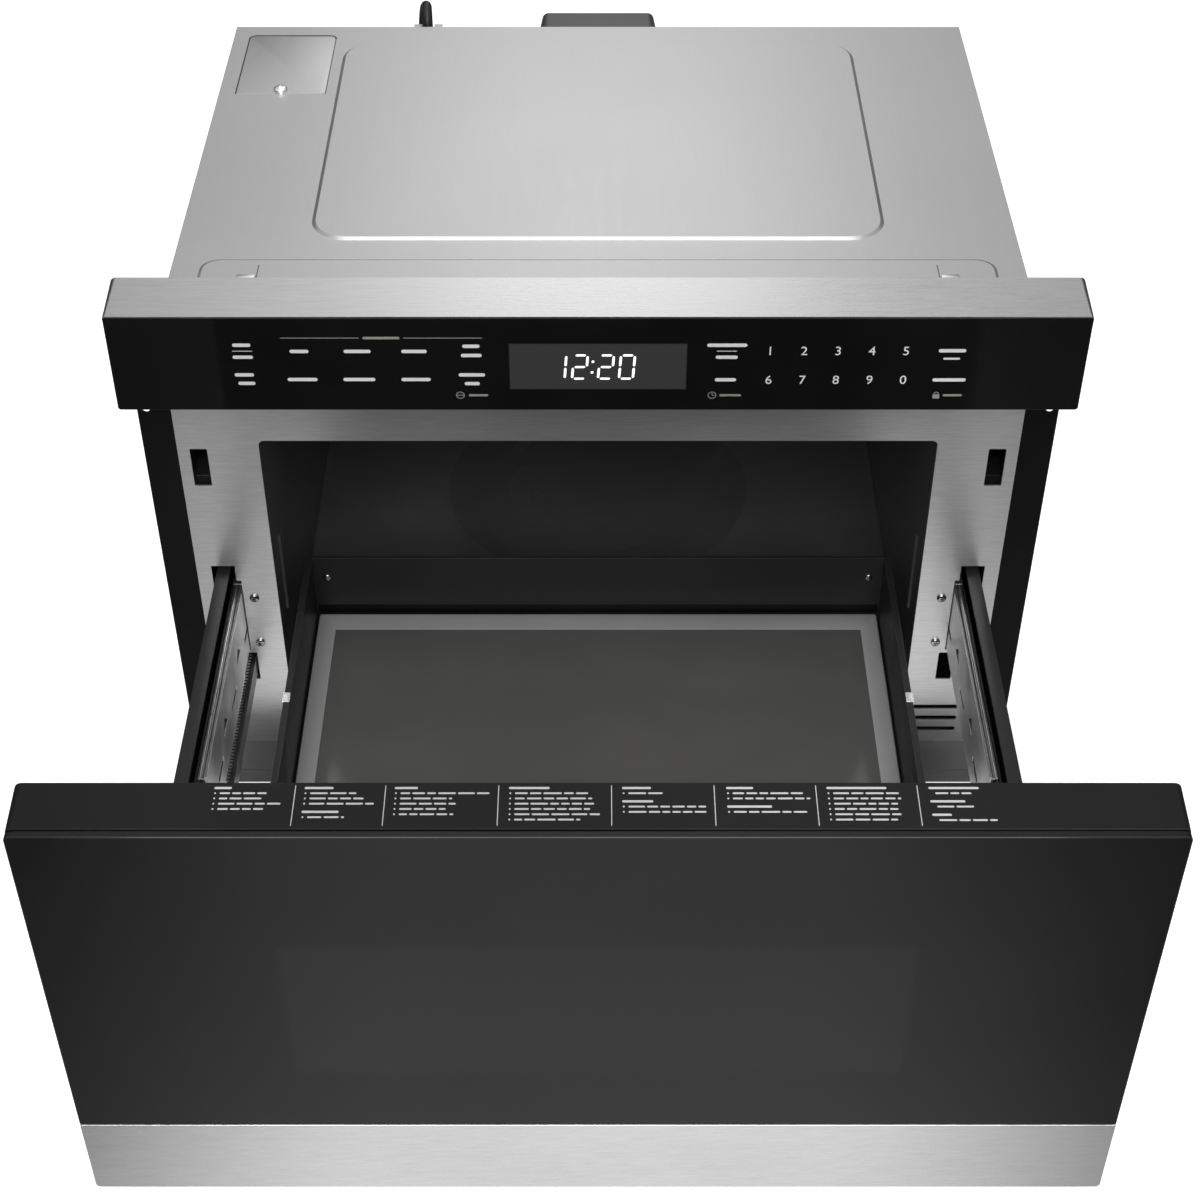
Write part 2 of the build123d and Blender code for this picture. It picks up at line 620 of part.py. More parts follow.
def antenna_well():
    """Flanged pan under the cavity floor that the stirrer turns in."""
    rim_r = WELL_HOLE_R + WELL_FLANGE
    wall_r = rim_r - WELL_WALL
    top = WELL_FLANGE_Z
    points = [(PORT_R, WELL_FLOOR), (wall_r, WELL_FLOOR), (wall_r, top - SHEET), (rim_r, top - SHEET)]
    points += [(rim_r, top), (wall_r - SHEET, top), (wall_r - SHEET, WELL_FLOOR + SHEET)]
    points += [(PORT_R, WELL_FLOOR + SHEET)]
    return Pos(0, WELL_Y, 0) * revolve(Plane.XZ * outline(*points), Axis.Z)


def floor_waveguide():
    """Rectangular waveguide under the cavity, from the rear port to the stirrer."""
    y0 = WELL_Y - GUIDE_FRONT
    tube = rect(-GUIDE_HALF_W, GUIDE_HALF_W, GUIDE_Z0, GUIDE_Z1)
    guide = along_y(tube, y0, BACK_Y) - along_y(guide_bore(), y0 + SHEET, BACK_Y)
    guide -= along_z(Pos(0, WELL_Y) * Circle(PORT_R), GUIDE_Z1 - 2 * SHEET, GUIDE_Z1 + 1)
    return guide - along_z(Pos(0, WELL_Y) * Circle(STIRRER_SHAFT_R + 1), GUIDE_Z0 - 1, GUIDE_Z0 + 2 * SHEET)


def guide_bore():
    """Inside of the floor waveguide, also its port in the back panel."""
    return rect(SHEET - GUIDE_HALF_W, GUIDE_HALF_W - SHEET, GUIDE_Z0 + SHEET, GUIDE_Z1 - SHEET)


def rear_waveguide():
    """Pressed duct on the back that brings the power down to the floor waveguide."""
    face = round_rect(-GUIDE_HALF_W, GUIDE_HALF_W, DUCT_Z0, BODY_H - DUCT_TOP, DUCT_R)
    start = Plane.XZ.offset(-BODY_D)
    outer = mirror(extrude(Plane.XZ * face, DUCT_DEPTH, taper=DUCT_DRAFT), Plane.XZ)
    inner_face = offset(face, -SHEET)
    inner = mirror(extrude(Plane.XZ * inner_face, DUCT_DEPTH - SHEET, taper=DUCT_DRAFT), Plane.XZ)
    rim = offset(face, DUCT_FLANGE) - inner_face
    flange = extrude(start * rim, -SHEET)
    return flange + Pos(0, BODY_D, 0) * (outer - inner)


def stirrer_antenna():
    """Rotating antenna: a slotted disc on a round shaft."""
    z1 = WELL_FLOOR + WELL_FLANGE_Z - LINER_BOTTOM + (CAVITY_FLOOR - WELL_FLOOR) / 2 - 1.4
    disc = Circle(STIRRER_R) - Pos(0, STIRRER_R * 0.62) * SlotOverall(STIRRER_R, 9.0)
    disc -= Pos(STIRRER_R * 0.55, -STIRRER_R * 0.3) * Rot(0, 0, 60) * SlotOverall(STIRRER_R * 0.8, 7.0)
    disc -= Pos(-STIRRER_R, -STIRRER_R * 0.4) * Circle(STIRRER_R * 0.45)
    shaft = along_z(Circle(STIRRER_SHAFT_R), GUIDE_Z0 - STIRRER_BORE, z1 - PLATE)
    hub = along_z(Circle(STIRRER_SHAFT_R * 2), z1 - 2 * PLATE, z1 - PLATE)
    return Pos(0, WELL_Y, 0) * (along_z(disc, z1 - PLATE, z1) + hub + shaft)


def antenna_motor():
    """Flat geared motor screwed under the floor waveguide."""
    depth = GUIDE_Z0 - PLATE - 1.0
    z0 = GUIDE_Z0 - depth
    ears = SlotOverall(STIRRER_MOTOR_R * 2.9, STIRRER_MOTOR_R * 0.4)
    case = along_z(Circle(STIRRER_MOTOR_R), z0, GUIDE_Z0)
    case += along_z(ears, GUIDE_Z0 - PLATE, GUIDE_Z0)
    bore = along_z(Circle(STIRRER_SHAFT_R + SHAFT_FIT), GUIDE_Z0 - STIRRER_BORE - RUN_GAP, GUIDE_Z0 + 1)
    return Pos(0, WELL_Y, 0) * (case - bore)


# ---- Electrical parts -------------------------------------------------------------------------------
def magnetron():
    """Magnetron on the back panel: anode, magnets, cooling fins, bracket, filter box and antenna."""
    y0 = BACK_Y - MAGNETRON_L
    w = MAGNETRON_HALF_W
    h = MAGNETRON_HALF_H
    wall = 2 * SHEET
    frame = rect(-w, w, -h, h) - rect(wall - w, w - wall, wall - h, h - wall)
    body = along_y(frame, y0, BACK_Y) + along_y(rect(-w, w, -h, h), BACK_Y - wall, BACK_Y)
    body += along_y(rect(-w, w, -h, h), y0, y0 + wall)
    body += along_y(Circle(ANODE_R), y0, BACK_Y)
    for start in (y0 + wall, BACK_Y - wall - MAGNET_T):
        body += along_y(Circle(ANODE_R * 1.42), start, start + MAGNET_T)
    middle = (y0 + BACK_Y) / 2
    for n in range(FIN_COUNT):
        y = middle + (n - (FIN_COUNT - 1) / 2) * FIN_PITCH
        body += along_y(rect(SHEET - w, w - SHEET, -h * 0.83, h * 0.83), y - SHEET / 2, y + SHEET / 2)
    body += along_y(round_rect(-w * 0.7, w * 0.7, -h * 0.75, h * 0.75, 3.0), y0 - FILTER_L, y0)
    antenna = along_y(Circle(ANTENNA_R), BACK_Y, BACK_Y + ANTENNA_L)
    body += fillet(antenna.edges().group_by(Axis.Y)[-1], ANTENNA_R / 2)
    return Pos(0, 0, MAGNETRON_Z) * body


def transformer_core():
    """Laminated core of the high-voltage transformer."""
    window = (CORE_W - 4 * CORE_LEG) / 2
    face = rect(-CORE_W / 2, CORE_W / 2, 0, CORE_H)
    for side in (-1, 1):
        face -= Pos(side * (CORE_LEG + window / 2), CORE_H / 2) * Rectangle(window, CORE_H - 2 * CORE_LEG)
    core = along_y(face, -CORE_D / 2, CORE_D / 2)
    reach = CORE_W / 2 + CORE_FOOT
    foot = along_y(rect(-reach, reach, 0, PLATE), -CORE_D / 2, CORE_D / 2)
    return Pos(CORE_X, BODY_D - CORE_REAR, TRAY_Z1) * (core + foot)


def transformer_windings():
    """Primary and secondary windings round the middle leg."""
    window = (CORE_W - 4 * CORE_LEG) / 2 - COIL_GAP
    inner_x = CORE_LEG + COIL_GAP / 2
    inner_y = CORE_D / 2 + COIL_GAP / 2
    height = (CORE_H - 2 * CORE_LEG - 3 * COIL_GAP) / 2
    ring = round_rect(-inner_x - window, inner_x + window, -inner_y - window, inner_y + window, window * 0.8)
    ring -= rect(-inner_x, inner_x, -inner_y, inner_y)
    low = CORE_LEG + COIL_GAP
    coils = Part()
    for z in (low, low + height + COIL_GAP):
        coils += along_z(ring, z, z + height)
    return Pos(CORE_X, BODY_D - CORE_REAR, TRAY_Z1) * coils


def hv_capacitor():
    """Oval high-voltage capacitor with its two terminals."""
    can = along_z(SlotOverall(CAPACITOR_W, CAPACITOR_D), 0, CAPACITOR_H)
    tab_l = CAPACITOR_H * 0.11
    tab = along_z(Rectangle(CAPACITOR_D * 0.2, SHEET), CAPACITOR_H, CAPACITOR_H + tab_l)
    for x in (-CAPACITOR_W / 6, CAPACITOR_W / 6):
        can += Pos(x, 0, 0) * tab
    return Pos(CAPACITOR_X, BODY_D - CAPACITOR_REAR, TRAY_Z1) * can


def fan_shroud():
    """Upright plate with a collar round the cooling fan."""
    bore_r = FAN_R + FAN_TIP_GAP
    w = bore_r + FAN_TIP_GAP * 2
    drop = TRAY_Z1 - FAN_Z
    plate = along_y(rect(-w, w, drop, w - FAN_TIP_GAP / 2), 0, PLATE)
    foot = along_z(rect(-w, w, 0, FAN_DEPTH), drop, drop + PLATE)
    collar = along_y(Circle(bore_r + PLATE), -FAN_DEPTH, PLATE)
    shroud = plate + foot + collar - along_y(Circle(bore_r), -FAN_DEPTH - 1, PLATE + 1)
    return Pos(FAN_X, BODY_D - FAN_REAR, FAN_Z) * shroud


def fan_rotor():
    """Pitched blades round a hub, with the shaft that runs in the motor."""
    depth = FAN_DEPTH * 0.75
    hub = along_y(Circle(FAN_R * 0.26), -depth - 1, -1)
    blade = Box(FAN_R, PLATE, depth * 1.5, align=(Align.MIN, Align.CENTER, Align.CENTER))
    blade = Pos(0, -depth / 2 - 1, 0) * Rot(FAN_PITCH, 0, 0) * blade
    ring = along_y(Circle(FAN_R), -depth - 1, -1)
    rotor = hub
    for n in range(FAN_BLADES):
        rotor += Rot(0, 360 * n / FAN_BLADES, 0) * blade & ring
    rotor += along_y(Circle(FAN_SHAFT_R), -2, PLATE + FAN_SHAFT_L)
    return Pos(FAN_X, BODY_D - FAN_REAR, FAN_Z) * rotor


def fan_motor():
    """Shaded-pole motor carried by a bar across the shroud."""
    reach = FAN_R + FAN_TIP_GAP * 3
    r = FAN_MOTOR_R
    bar = along_y(rect(-reach, reach, -r / 3, r / 3), PLATE, 2 * PLATE)
    case = along_y(Circle(r), 2 * PLATE, 2 * PLATE + FAN_MOTOR_L)
    stack = along_y(rect(-r * 1.27, r * 1.27, -r * 0.9, r * 0.9), FAN_MOTOR_L * 0.35, FAN_MOTOR_L * 0.8)
    bore = along_y(Circle(FAN_SHAFT_R + SHAFT_FIT), 0, PLATE + FAN_SHAFT_L + RUN_GAP)
    return Pos(FAN_X, BODY_D - FAN_REAR, FAN_Z) * (bar + case + stack - bore)


# ---- Control panel ----------------------------------------------------------------------------------
def panel_envelope(drop=0.0):
    """Whole outside of the control panel, drafted towards the rear."""
    face = round_rect(-FRONT_HALF_W, FRONT_HALF_W, PANEL_Z0, PANEL_Z1, PANEL_R)
    return Pos(0, 0, -drop) * widening(face, FRONT_Y, FACE_Y, DRAFT)


def control_trim():
    """Brushed cap over the top of the control panel."""
    tall = rect(-2 * FRONT_HALF_W, 2 * FRONT_HALF_W, PANEL_Z1 - 3 * PANEL_R, 2 * PANEL_Z1)
    band = along_y(tall, FRONT_Y, FACE_Y)
    return (panel_envelope() - panel_envelope(SHEET)) & band


def control_glass():
    """Black glass of the control panel, with a bevelled edge."""
    face = round_rect(-FRONT_HALF_W, FRONT_HALF_W, PANEL_Z0, PANEL_GLASS_TOP, PANEL_R)
    glass = along_y(face, FRONT_Y, FRONT_Y + PANEL_GLASS)
    return chamfer(glass.edges().group_by(Axis.Y)[0], 0.5)


def control_housing():
    """Moulded housing behind the control glass, open at the rear, with ribs."""
    y0 = FRONT_Y + PANEL_GLASS
    body = panel_envelope() & panel_envelope(SHEET)
    body &= along_y(rect(-2 * FRONT_HALF_W, 2 * FRONT_HALF_W, 0, 2 * BODY_H), y0, FACE_Y)
    x1 = FRONT_HALF_W - PANEL_WALL
    z0 = PANEL_Z0 + PANEL_WALL
    z1 = PANEL_GLASS_TOP - PANEL_WALL
    hollow = along_y(rect(-x1, x1, z0, z1), y0 + PANEL_WALL, FACE_Y + 1)
    body -= hollow + along_y(display_face(0), y0 - 1, y0 + PANEL_WALL + 1)
    for share in (-0.67, -0.4, 0.4, 0.67):
        rib = rect(share * x1 - 1, share * x1 + 1, z0, z0 + BOARD_GAP - RUN_GAP)
        body += along_y(rib, y0 + PANEL_WALL, FACE_Y - PLATE)
    return body


def display_face(gap):
    """Outline of the display, or of its window in the housing."""
    z0 = PANEL_Z0 + DISPLAY_RISE
    w = DISPLAY_HALF_W - gap
    return rect(-w, w, z0 + gap, z0 + DISPLAY_H - gap)


def control_board():
    """Circuit board with the clock display that stands behind the glass."""
    z0 = PANEL_Z0 + PANEL_WALL + BOARD_GAP
    z1 = PANEL_GLASS_TOP - PANEL_WALL - RUN_GAP
    board = along_y(rect(-BOARD_HALF_W, BOARD_HALF_W, z0, z1), BOARD_Y, BOARD_Y + BOARD_T)
    return board + along_y(display_face(RUN_GAP), FRONT_Y + PANEL_GLASS, BOARD_Y)


def control_rear_cover():
    """Rear cover of the control panel with the posts that hold the board."""
    x1 = FRONT_HALF_W - PANEL_WALL - RUN_GAP
    z0 = PANEL_Z0 + PANEL_WALL + RUN_GAP
    z1 = PANEL_GLASS_TOP - PANEL_WALL - RUN_GAP
    cover = along_y(rect(-x1, x1, z0, z1), FACE_Y - PLATE, FACE_Y)
    for share in (-0.9, -0.45, 0.45, 0.9):
        cover += bar_y(share * BOARD_HALF_W, (z0 + z1) / 2, PANEL_WALL, BOARD_Y + BOARD_T, FACE_Y - PLATE)
    return cover


# ---- Slides -----------------------------------------------------------------------------------------
def race(face, x, z):
    """Cuts a ball groove into a slide member's section, above and below the middle."""
    for sign in (-1, 1):
        face -= Pos(x, SLIDE_Z + sign * z) * Circle(BALL_R + BALL_FIT)
    return face


def channel(x0, x1, web_x0, half_h, flange_t):
    """Section of a slide member: a web with a flange above and below."""
    face = rect(x0, x1, SLIDE_Z - half_h, SLIDE_Z + half_h)
    low = SLIDE_Z - half_h + flange_t
    high = SLIDE_Z + half_h - flange_t
    hollow = rect(x0, web_x0, low, high) + rect(web_x0 + SLIDE_WEB, x1, low, high)
    return face - hollow


def slide_cabinet_member():
    """Fixed member of the right-hand slide."""
    face = channel(CABINET_WEB_X, CABINET_WEB_X + CABINET_FLANGE, CABINET_WEB_X, CABINET_HALF_H, SLIDE_WEB)
    face = race(face, OUTER_BALL_X, OUTER_BALL_Z)
    return along_y(face, SLIDE_Y0 + 1, SLIDE_Y0 + 1 + SLIDE_L)


def slide_mid_member():
    """Middle member of the right-hand slide, with its stamped slots."""
    face = channel(MID_WEB_X, MID_WEB_X + MID_FLANGE, MID_WEB_X, SLIDE_HALF_H, MID_RACE_T)
    face = race(race(face, OUTER_BALL_X, OUTER_BALL_Z), INNER_BALL_X, INNER_BALL_Z)
    member = along_y(face, MID_Y0, MID_Y0 + SLIDE_L)
    size = SLIDE_HALF_H / 6
    for n in range(5):
        y = MID_Y0 + SLIDE_L * (n + 0.6) / 5.2
        slot = Pos(y, SLIDE_Z - 2 * size) * Rectangle(5 * size, size)
        notch = Pos(y + 7 * size, SLIDE_Z + size) * outline((-2 * size, -size), (2 * size, -size), (0, size))
        member -= along_x(slot + notch, MID_WEB_X - 1, MID_WEB_X + 2 * SLIDE_WEB)
    return member


def slide_drawer_member():
    """Moving member of the right-hand slide, on the support arm."""
    x0 = ARM_X0 - DRAWER_FLANGE
    face = channel(x0, ARM_X0, DRAWER_WEB_X, DRAWER_HALF_H, SLIDE_WEB)
    face = race(face, INNER_BALL_X, INNER_BALL_Z)
    y0 = FACE_Y - SHEET
    return along_y(face, y0, y0 + SLIDE_L)


def ball_cage(x0, x1, ball_x, ball_z, middle_y):
    """Ball retainer: a bent strip with balls above and below."""
    top = rect(x0, x1, SLIDE_Z + ball_z - CAGE_T / 2, SLIDE_Z + ball_z + CAGE_T / 2)
    low = rect(x0, x1, SLIDE_Z - ball_z - CAGE_T / 2, SLIDE_Z - ball_z + CAGE_T / 2)
    web = rect(x0, x0 + CAGE_T * 0.8, SLIDE_Z - ball_z, SLIDE_Z + ball_z)
    cage = along_y(top + low + web, middle_y - CAGE_L / 2, middle_y + CAGE_L / 2)
    for n in range(BALLS):
        y = middle_y + CAGE_L * ((n + 0.5) / BALLS - 0.5)
        for sign in (-1, 1):
            cage += Pos(ball_x, y, SLIDE_Z + sign * ball_z) * Sphere(BALL_R)
    return cage


def ball_cages_outer():
    """Retainers between the cabinet members and the middle members."""
    x0 = MID_WEB_X - CABINET_WEB_GAP + RUN_GAP
    cage = ball_cage(x0, OUTER_BALL_X + BALL_R + 0.4, OUTER_BALL_X, OUTER_BALL_Z, SLIDE_Y0 + SLIDE_L / 2)
    return pair(cage)


def ball_cages_inner():
    """Retainers between the middle members and the drawer members."""
    x0 = MID_WEB_X + SLIDE_WEB + RUN_GAP
    cage = ball_cage(x0, INNER_BALL_X + BALL_R, INNER_BALL_X, INNER_BALL_Z, SLIDE_L / 2)
    return pair(cage)


def slide_brackets():
    """Angles from the face plate to the back panel that carry the slides."""
    x1 = CABINET_WEB_X
    plan = rect(BRACKET_X0, x1, 0, BACK_Y)
    tab_x = x1 - BRACKET_TAB
    plan += rect(tab_x, x1, 0, SLIDE_WEB) + rect(tab_x, x1, BACK_Y - SLIDE_WEB, BACK_Y)
    bracket = along_z(plan, SLIDE_Z - CABINET_HALF_H - SLIDE_WEB, SLIDE_Z + CABINET_HALF_H + SLIDE_WEB)
    for z in (SLIDE_Z - SCREW_STEP, SLIDE_Z + SCREW_STEP):
        bracket -= bar_y(SCREW_X, z, SCREW_SHANK_R, -1, SLIDE_WEB + 1)
    for n in range(4):
        window = Pos(BACK_Y * (n + 1) / 5, SLIDE_Z) * Rectangle(BACK_Y / 9, SLIDE_HALF_H * 0.75)
        bracket -= along_x(window, BRACKET_X0 - 1, x1 + 1)
    return pair(bracket)


def support_arms():
    """Black channel at each side that joins the drawer front to its slide."""
    face = rect(ARM_X0, ARM_X1, ARM_Z0, ARM_Z1)
    face -= rect(ARM_X0 + ARM_T, ARM_X1 + 1, ARM_Z0 + ARM_T, ARM_Z1 - ARM_T)
    corners = face.vertices().filter_by(lambda v: abs(v.X - ARM_X0) < 0.01)
    arm = along_y(fillet(corners, ARM_T * 0.6), PANEL_BACK, ARM_REAR_Y)
    middle = (ARM_Z0 + ARM_Z1) / 2
    tab = rect(ARM_X0 + ARM_T, ARM_X1 + ARM_TAB, middle - ARM_HALF_H * 0.8, middle + ARM_HALF_H * 0.8)
    for z in (middle - ARM_HALF_H / 2, middle + ARM_HALF_H / 2):
        tab -= Pos(ARM_X1 + ARM_TAB / 2, z) * Circle(SCREW_SHANK_R)
    return pair(arm + along_y(tab, PANEL_BACK, PANEL_BACK + ARM_T))


# ---- Rack drive -------------------------------------------------------------------------------------
def drive_rack():
    """Rack on the drawer, teeth outwards, in mesh with the pinion."""
    pitch = math.pi * MODULE
    slope = math.tan(math.radians(PRESSURE))
    root_x = RACK_PITCH_X - 1.25 * MODULE
    half_root = (pitch - BACKLASH) / 4 + 1.25 * MODULE * slope
    half_tip = (pitch - BACKLASH) / 4 - MODULE * slope
    y0 = PANEL_BACK
    y1 = RACK_REAR_Y
    mesh_y = PINION_Y + STROKE
    first = math.ceil((y0 + RACK_PLAIN - mesh_y) / pitch)
    last = math.floor((y1 - half_root - mesh_y) / pitch)
    points = [(RACK_BACK_X, y0), (root_x, y0)]
    for n in range(first, last + 1):
        y = mesh_y + pitch * n
        points += [(root_x, y - half_root), (RACK_TIP_X, y - half_tip)]
        points += [(RACK_TIP_X, y + half_tip), (root_x, y + half_root)]
    points += [(root_x, y1), (RACK_BACK_X, y1)]
    rack = along_z(outline(*points), RACK_Z0, RACK_Z1)
    foot = rect(RACK_BACK_X, RACK_TIP_X, RACK_Z0 - RACK_FOOT, RACK_Z1 + RACK_FOOT)
    return left(rack + along_y(foot, y0, y0 + ARM_T))


def involute(angle):
    """The involute function of a pressure angle in radians."""
    return math.tan(angle) - angle


def drive_pinion():
    """Spur pinion with involute teeth on an upright shaft."""
    base_r = PITCH_R * math.cos(math.radians(PRESSURE))
    tip_r = PITCH_R + MODULE
    root_r = PITCH_R - 1.25 * MODULE
    half = (math.pi * MODULE - BACKLASH) / (4 * PITCH_R) + involute(math.radians(PRESSURE))
    flank = [max(base_r, root_r) + (tip_r - base_r) * n / 4 for n in range(5)]
    points = []
    for tooth in range(PINION_TEETH):
        middle = 2 * math.pi * (tooth + 0.5) / PINION_TEETH
        turns = [half - involute(math.acos(min(1, base_r / r))) for r in flank]
        side = [(root_r, half)] + list(zip(flank, turns))
        points += [(r * math.cos(middle - a), r * math.sin(middle - a)) for r, a in side]
        points += [(r * math.cos(middle + a), r * math.sin(middle + a)) for r, a in reversed(side)]
    pinion = along_z(outline(*points), RACK_Z0, RACK_Z1)
    pinion += along_z(Circle(PINION_SHAFT_R), GEARBOX_Z1 - PINION_BORE, RACK_Z1 + 2)
    pinion += along_z(Circle(PINION_SHAFT_R * 1.6), GEARBOX_Z1 + RUN_GAP, RACK_Z0)
    return left(Pos(PINION_X, PINION_Y, 0) * pinion)


def drive_gearbox():
    """Worm gearbox under the pinion, with a rib that backs the rack."""
    body = along_z(round_rect(GEARBOX_X0, GEARBOX_X1, PLATE, GEARBOX_Y1, 4.0), GEARBOX_Z0, GEARBOX_Z1)
    ear = rect(GEARBOX_X0 - GEARBOX_EAR, GEARBOX_X1, GEARBOX_Z0 - GEARBOX_EAR, GEARBOX_Z0 + GEARBOX_H * 0.6)
    body += along_y(ear, 0, PLATE)
    x1 = RACK_BACK_X - RUN_GAP
    rib = rect(x1 - FRONT_WALL, x1, 2 * PLATE, GEARBOX_Y1 - GEARBOX_EAR)
    body += along_z(rib, GEARBOX_Z1, RACK_Z1 - 2)
    bore = Pos(PINION_X, PINION_Y) * Circle(PINION_SHAFT_R + SHAFT_FIT)
    return left(body - along_z(bore, GEARBOX_Z1 - PINION_BORE - RUN_GAP, GEARBOX_Z1 + 1))


def drive_motor():
    """Motor of the drawer drive, behind its gearbox."""
    y1 = GEARBOX_Y1 + MOTOR_L
    x = (GEARBOX_X0 + GEARBOX_X1) / 2
    z = GEARBOX_Z0 + GEARBOX_H / 2
    motor = bar_y(x, z, MOTOR_R, GEARBOX_Y1, y1)
    motor = chamfer(motor.edges().group_by(Axis.Y)[-1], MOTOR_R / 8)
    return left(motor + bar_y(x, z, MOTOR_R / 3, y1, y1 + MOTOR_R / 4))


# ---- Latches ----------------------------------------------------------------------------------------
def latch_hooks():
    """Hooks on the drawer that work the interlocks through the face plate."""
    y0 = PANEL_BACK
    y1 = y0 + HOOK_REACH
    z0 = HOOK_Z - HOOK_H / 2
    z1 = HOOK_Z + HOOK_H / 2
    tip = y1 - HOOK_TIP
    side = outline((y0, z0), (tip, z0), (tip + 1, z0 - HOOK_BARB), (y1 - HOOK_TIP / 3, z0 - HOOK_BARB),
                   (y1, z0 + HOOK_H / 6), (y1, z1 - HOOK_H / 4), (y1 - HOOK_TIP / 2, z1), (y0, z1))
    hook = along_x(side, LATCH_X - HOOK_T / 2, LATCH_X + HOOK_T / 2)
    foot = rect(LATCH_X - HOOK_T * 1.2, LATCH_X + HOOK_T * 1.2, z0 - HOOK_H / 2, z1 + HOOK_H / 2)
    return pair(hook + along_y(foot, y0, y0 + ARM_T))


def latch_brackets():
    """Steel brackets with the interlock switches behind the latch slots."""
    x0 = LATCH_X0 - LATCH_GAP
    x1 = LATCH_X1 + LATCH_GAP
    z0 = LATCH_Z0 - 5 * LATCH_GAP
    z1 = LATCH_Z1 + 3 * LATCH_GAP
    plate = rect(x0 - 5 * LATCH_GAP, SIDE_X, z0 - LATCH_GAP, z1 + LATCH_GAP)
    plate -= rect(LATCH_X0, LATCH_X1, LATCH_Z0, LATCH_Z1)
    wall = rect(x0 - PLATE, x0, z0, z1) + rect(x1, x1 + PLATE, z0, z1)
    bracket = along_y(plate, 0, PLATE) + along_y(wall, PLATE, LATCH_D)
    bracket += along_y(rect(x0, x1, z0, z1), LATCH_D - PLATE, LATCH_D)
    switch = rect(x0, x1, z0, HOOK_Z - HOOK_H / 2 - HOOK_BARB - 2)
    return pair(bracket + along_y(switch, SWITCH_Y0, SWITCH_Y0 + SWITCH_L))


# ---- Drawer front -----------------------------------------------------------------------------------
def drawer_frame():
    """Moulded frame of the drawer front: drafted walls, a web behind the glass, and ribs."""
    w = FRONT_HALF_W
    y0 = FRAME_Y0
    groove_y = y0 + SHADOW
    face = round_rect(-w, w, FRONT_Z0, FRONT_Z1, CORNER_R)
    whole = widening(face, FRONT_Y, FRAME_Y1, DRAFT)
    body = whole & along_y(rect(-2 * w, 2 * w, -w, 2 * w), groove_y, FRAME_Y1)
    neck = round_rect(SHADOW - w, w - SHADOW, FRONT_Z0 + SHADOW, FRONT_Z1 - SHADOW, CORNER_R)
    body += along_y(neck, y0, groove_y)
    web_y = y0 + FRONT_WALL
    x1 = w - FRONT_WALL - SHADOW
    z0 = FRONT_Z0 + FRONT_WALL + SHADOW
    z1 = FRONT_Z1 - FRONT_WALL - SHADOW
    body -= along_y(round_rect(-x1, x1, z0, z1, CORNER_R), web_y, FRAME_Y1 + 1)
    edge = WINDOW_LAP / 2
    hole = rect(-WINDOW_HALF_W - edge, WINDOW_HALF_W + edge, WINDOW_Z0 - edge, WINDOW_Z1 + edge)
    low = WINDOW_Z0 - 3 * WINDOW_LAP
    high = WINDOW_Z1 + 3 * WINDOW_LAP
    ribs = rect(-x1, x1, high, high + RIB_T) + rect(-x1, x1, low - RIB_T, low)
    for share in (-0.82, -0.62, 0.62, 0.82):
        ribs += rect(share * w - RIB_T / 2, share * w + RIB_T / 2, z0, z1)
    for share in (-0.3, 0.0, 0.3):
        for bottom, top in ((z0, low), (high, z1)):
            ribs += rect(share * w - RIB_T / 2, share * w + RIB_T / 2, bottom, top)
    body += along_y(ribs, web_y, FRAME_Y1 - PANEL_T)
    return body - along_y(hole, y0 - 1, web_y + 1)


def drawer_glass():
    """Black glass of the drawer front."""
    face = rect(-FRONT_HALF_W, FRONT_HALF_W, GLASS_BOTTOM, FRONT_Z1)
    top = face.vertices().group_by(Axis.Y)[-1]
    glass = along_y(fillet(top, CORNER_R), FRONT_Y, FRAME_Y0)
    return chamfer(glass.edges().group_by(Axis.Y)[0], 0.5)


def drawer_trim():
    """Brushed steel strip below the glass, folded back at its edges."""
    face = rect(-FRONT_HALF_W, FRONT_HALF_W, FRONT_Z0, TRIM_TOP)
    low = face.vertices().group_by(Axis.Y)[0]
    face = fillet(low, CORNER_R)
    strip = along_y(face, FRONT_Y, FRAME_Y0)
    strip = fillet(strip.edges().group_by(Axis.Y)[0], 0.6)
    hollow = offset(face, -PLATE)
    return strip - along_y(hollow, FRONT_Y + PLATE, FRAME_Y0 + 1)


def inner_panel():
    """Pressed panel that closes the back of the drawer front, with the window opening."""
    w = FRONT_HALF_W - PANEL_INSET
    face = round_rect(-w, w, FRONT_Z0 + PANEL_INSET, FRONT_Z1 - PANEL_INSET, CORNER_R)
    face -= rect(-WINDOW_HALF_W, WINDOW_HALF_W, WINDOW_Z0, WINDOW_Z1)
    return along_y(face, FRAME_Y1, PANEL_BACK)


def window_screen():
    """Screen sheet behind the window of the drawer front."""
    w = WINDOW_HALF_W + WINDOW_LAP
    face = rect(-w, w, WINDOW_Z0 - WINDOW_LAP, WINDOW_Z1 + WINDOW_LAP)
    return along_y(face, FRAME_Y1 - SHEET, FRAME_Y1)


def choke_cover():
    """Plastic ring on the inner panel that faces the rim of the cavity."""
    w = CAVITY_HALF_W + CHOKE_LAP
    face = round_rect(-w, w, CAVITY_FLOOR - CHOKE_LAP, CAVITY_TOP + CHOKE_LAP, CHOKE_R)
    hole = offset(face, -CHOKE_W)
    ring = along_y(face - hole, PANEL_BACK, PANEL_BACK + CHOKE_T)
    return chamfer(ring.edges().group_by(Axis.Y)[-1], 0.6)


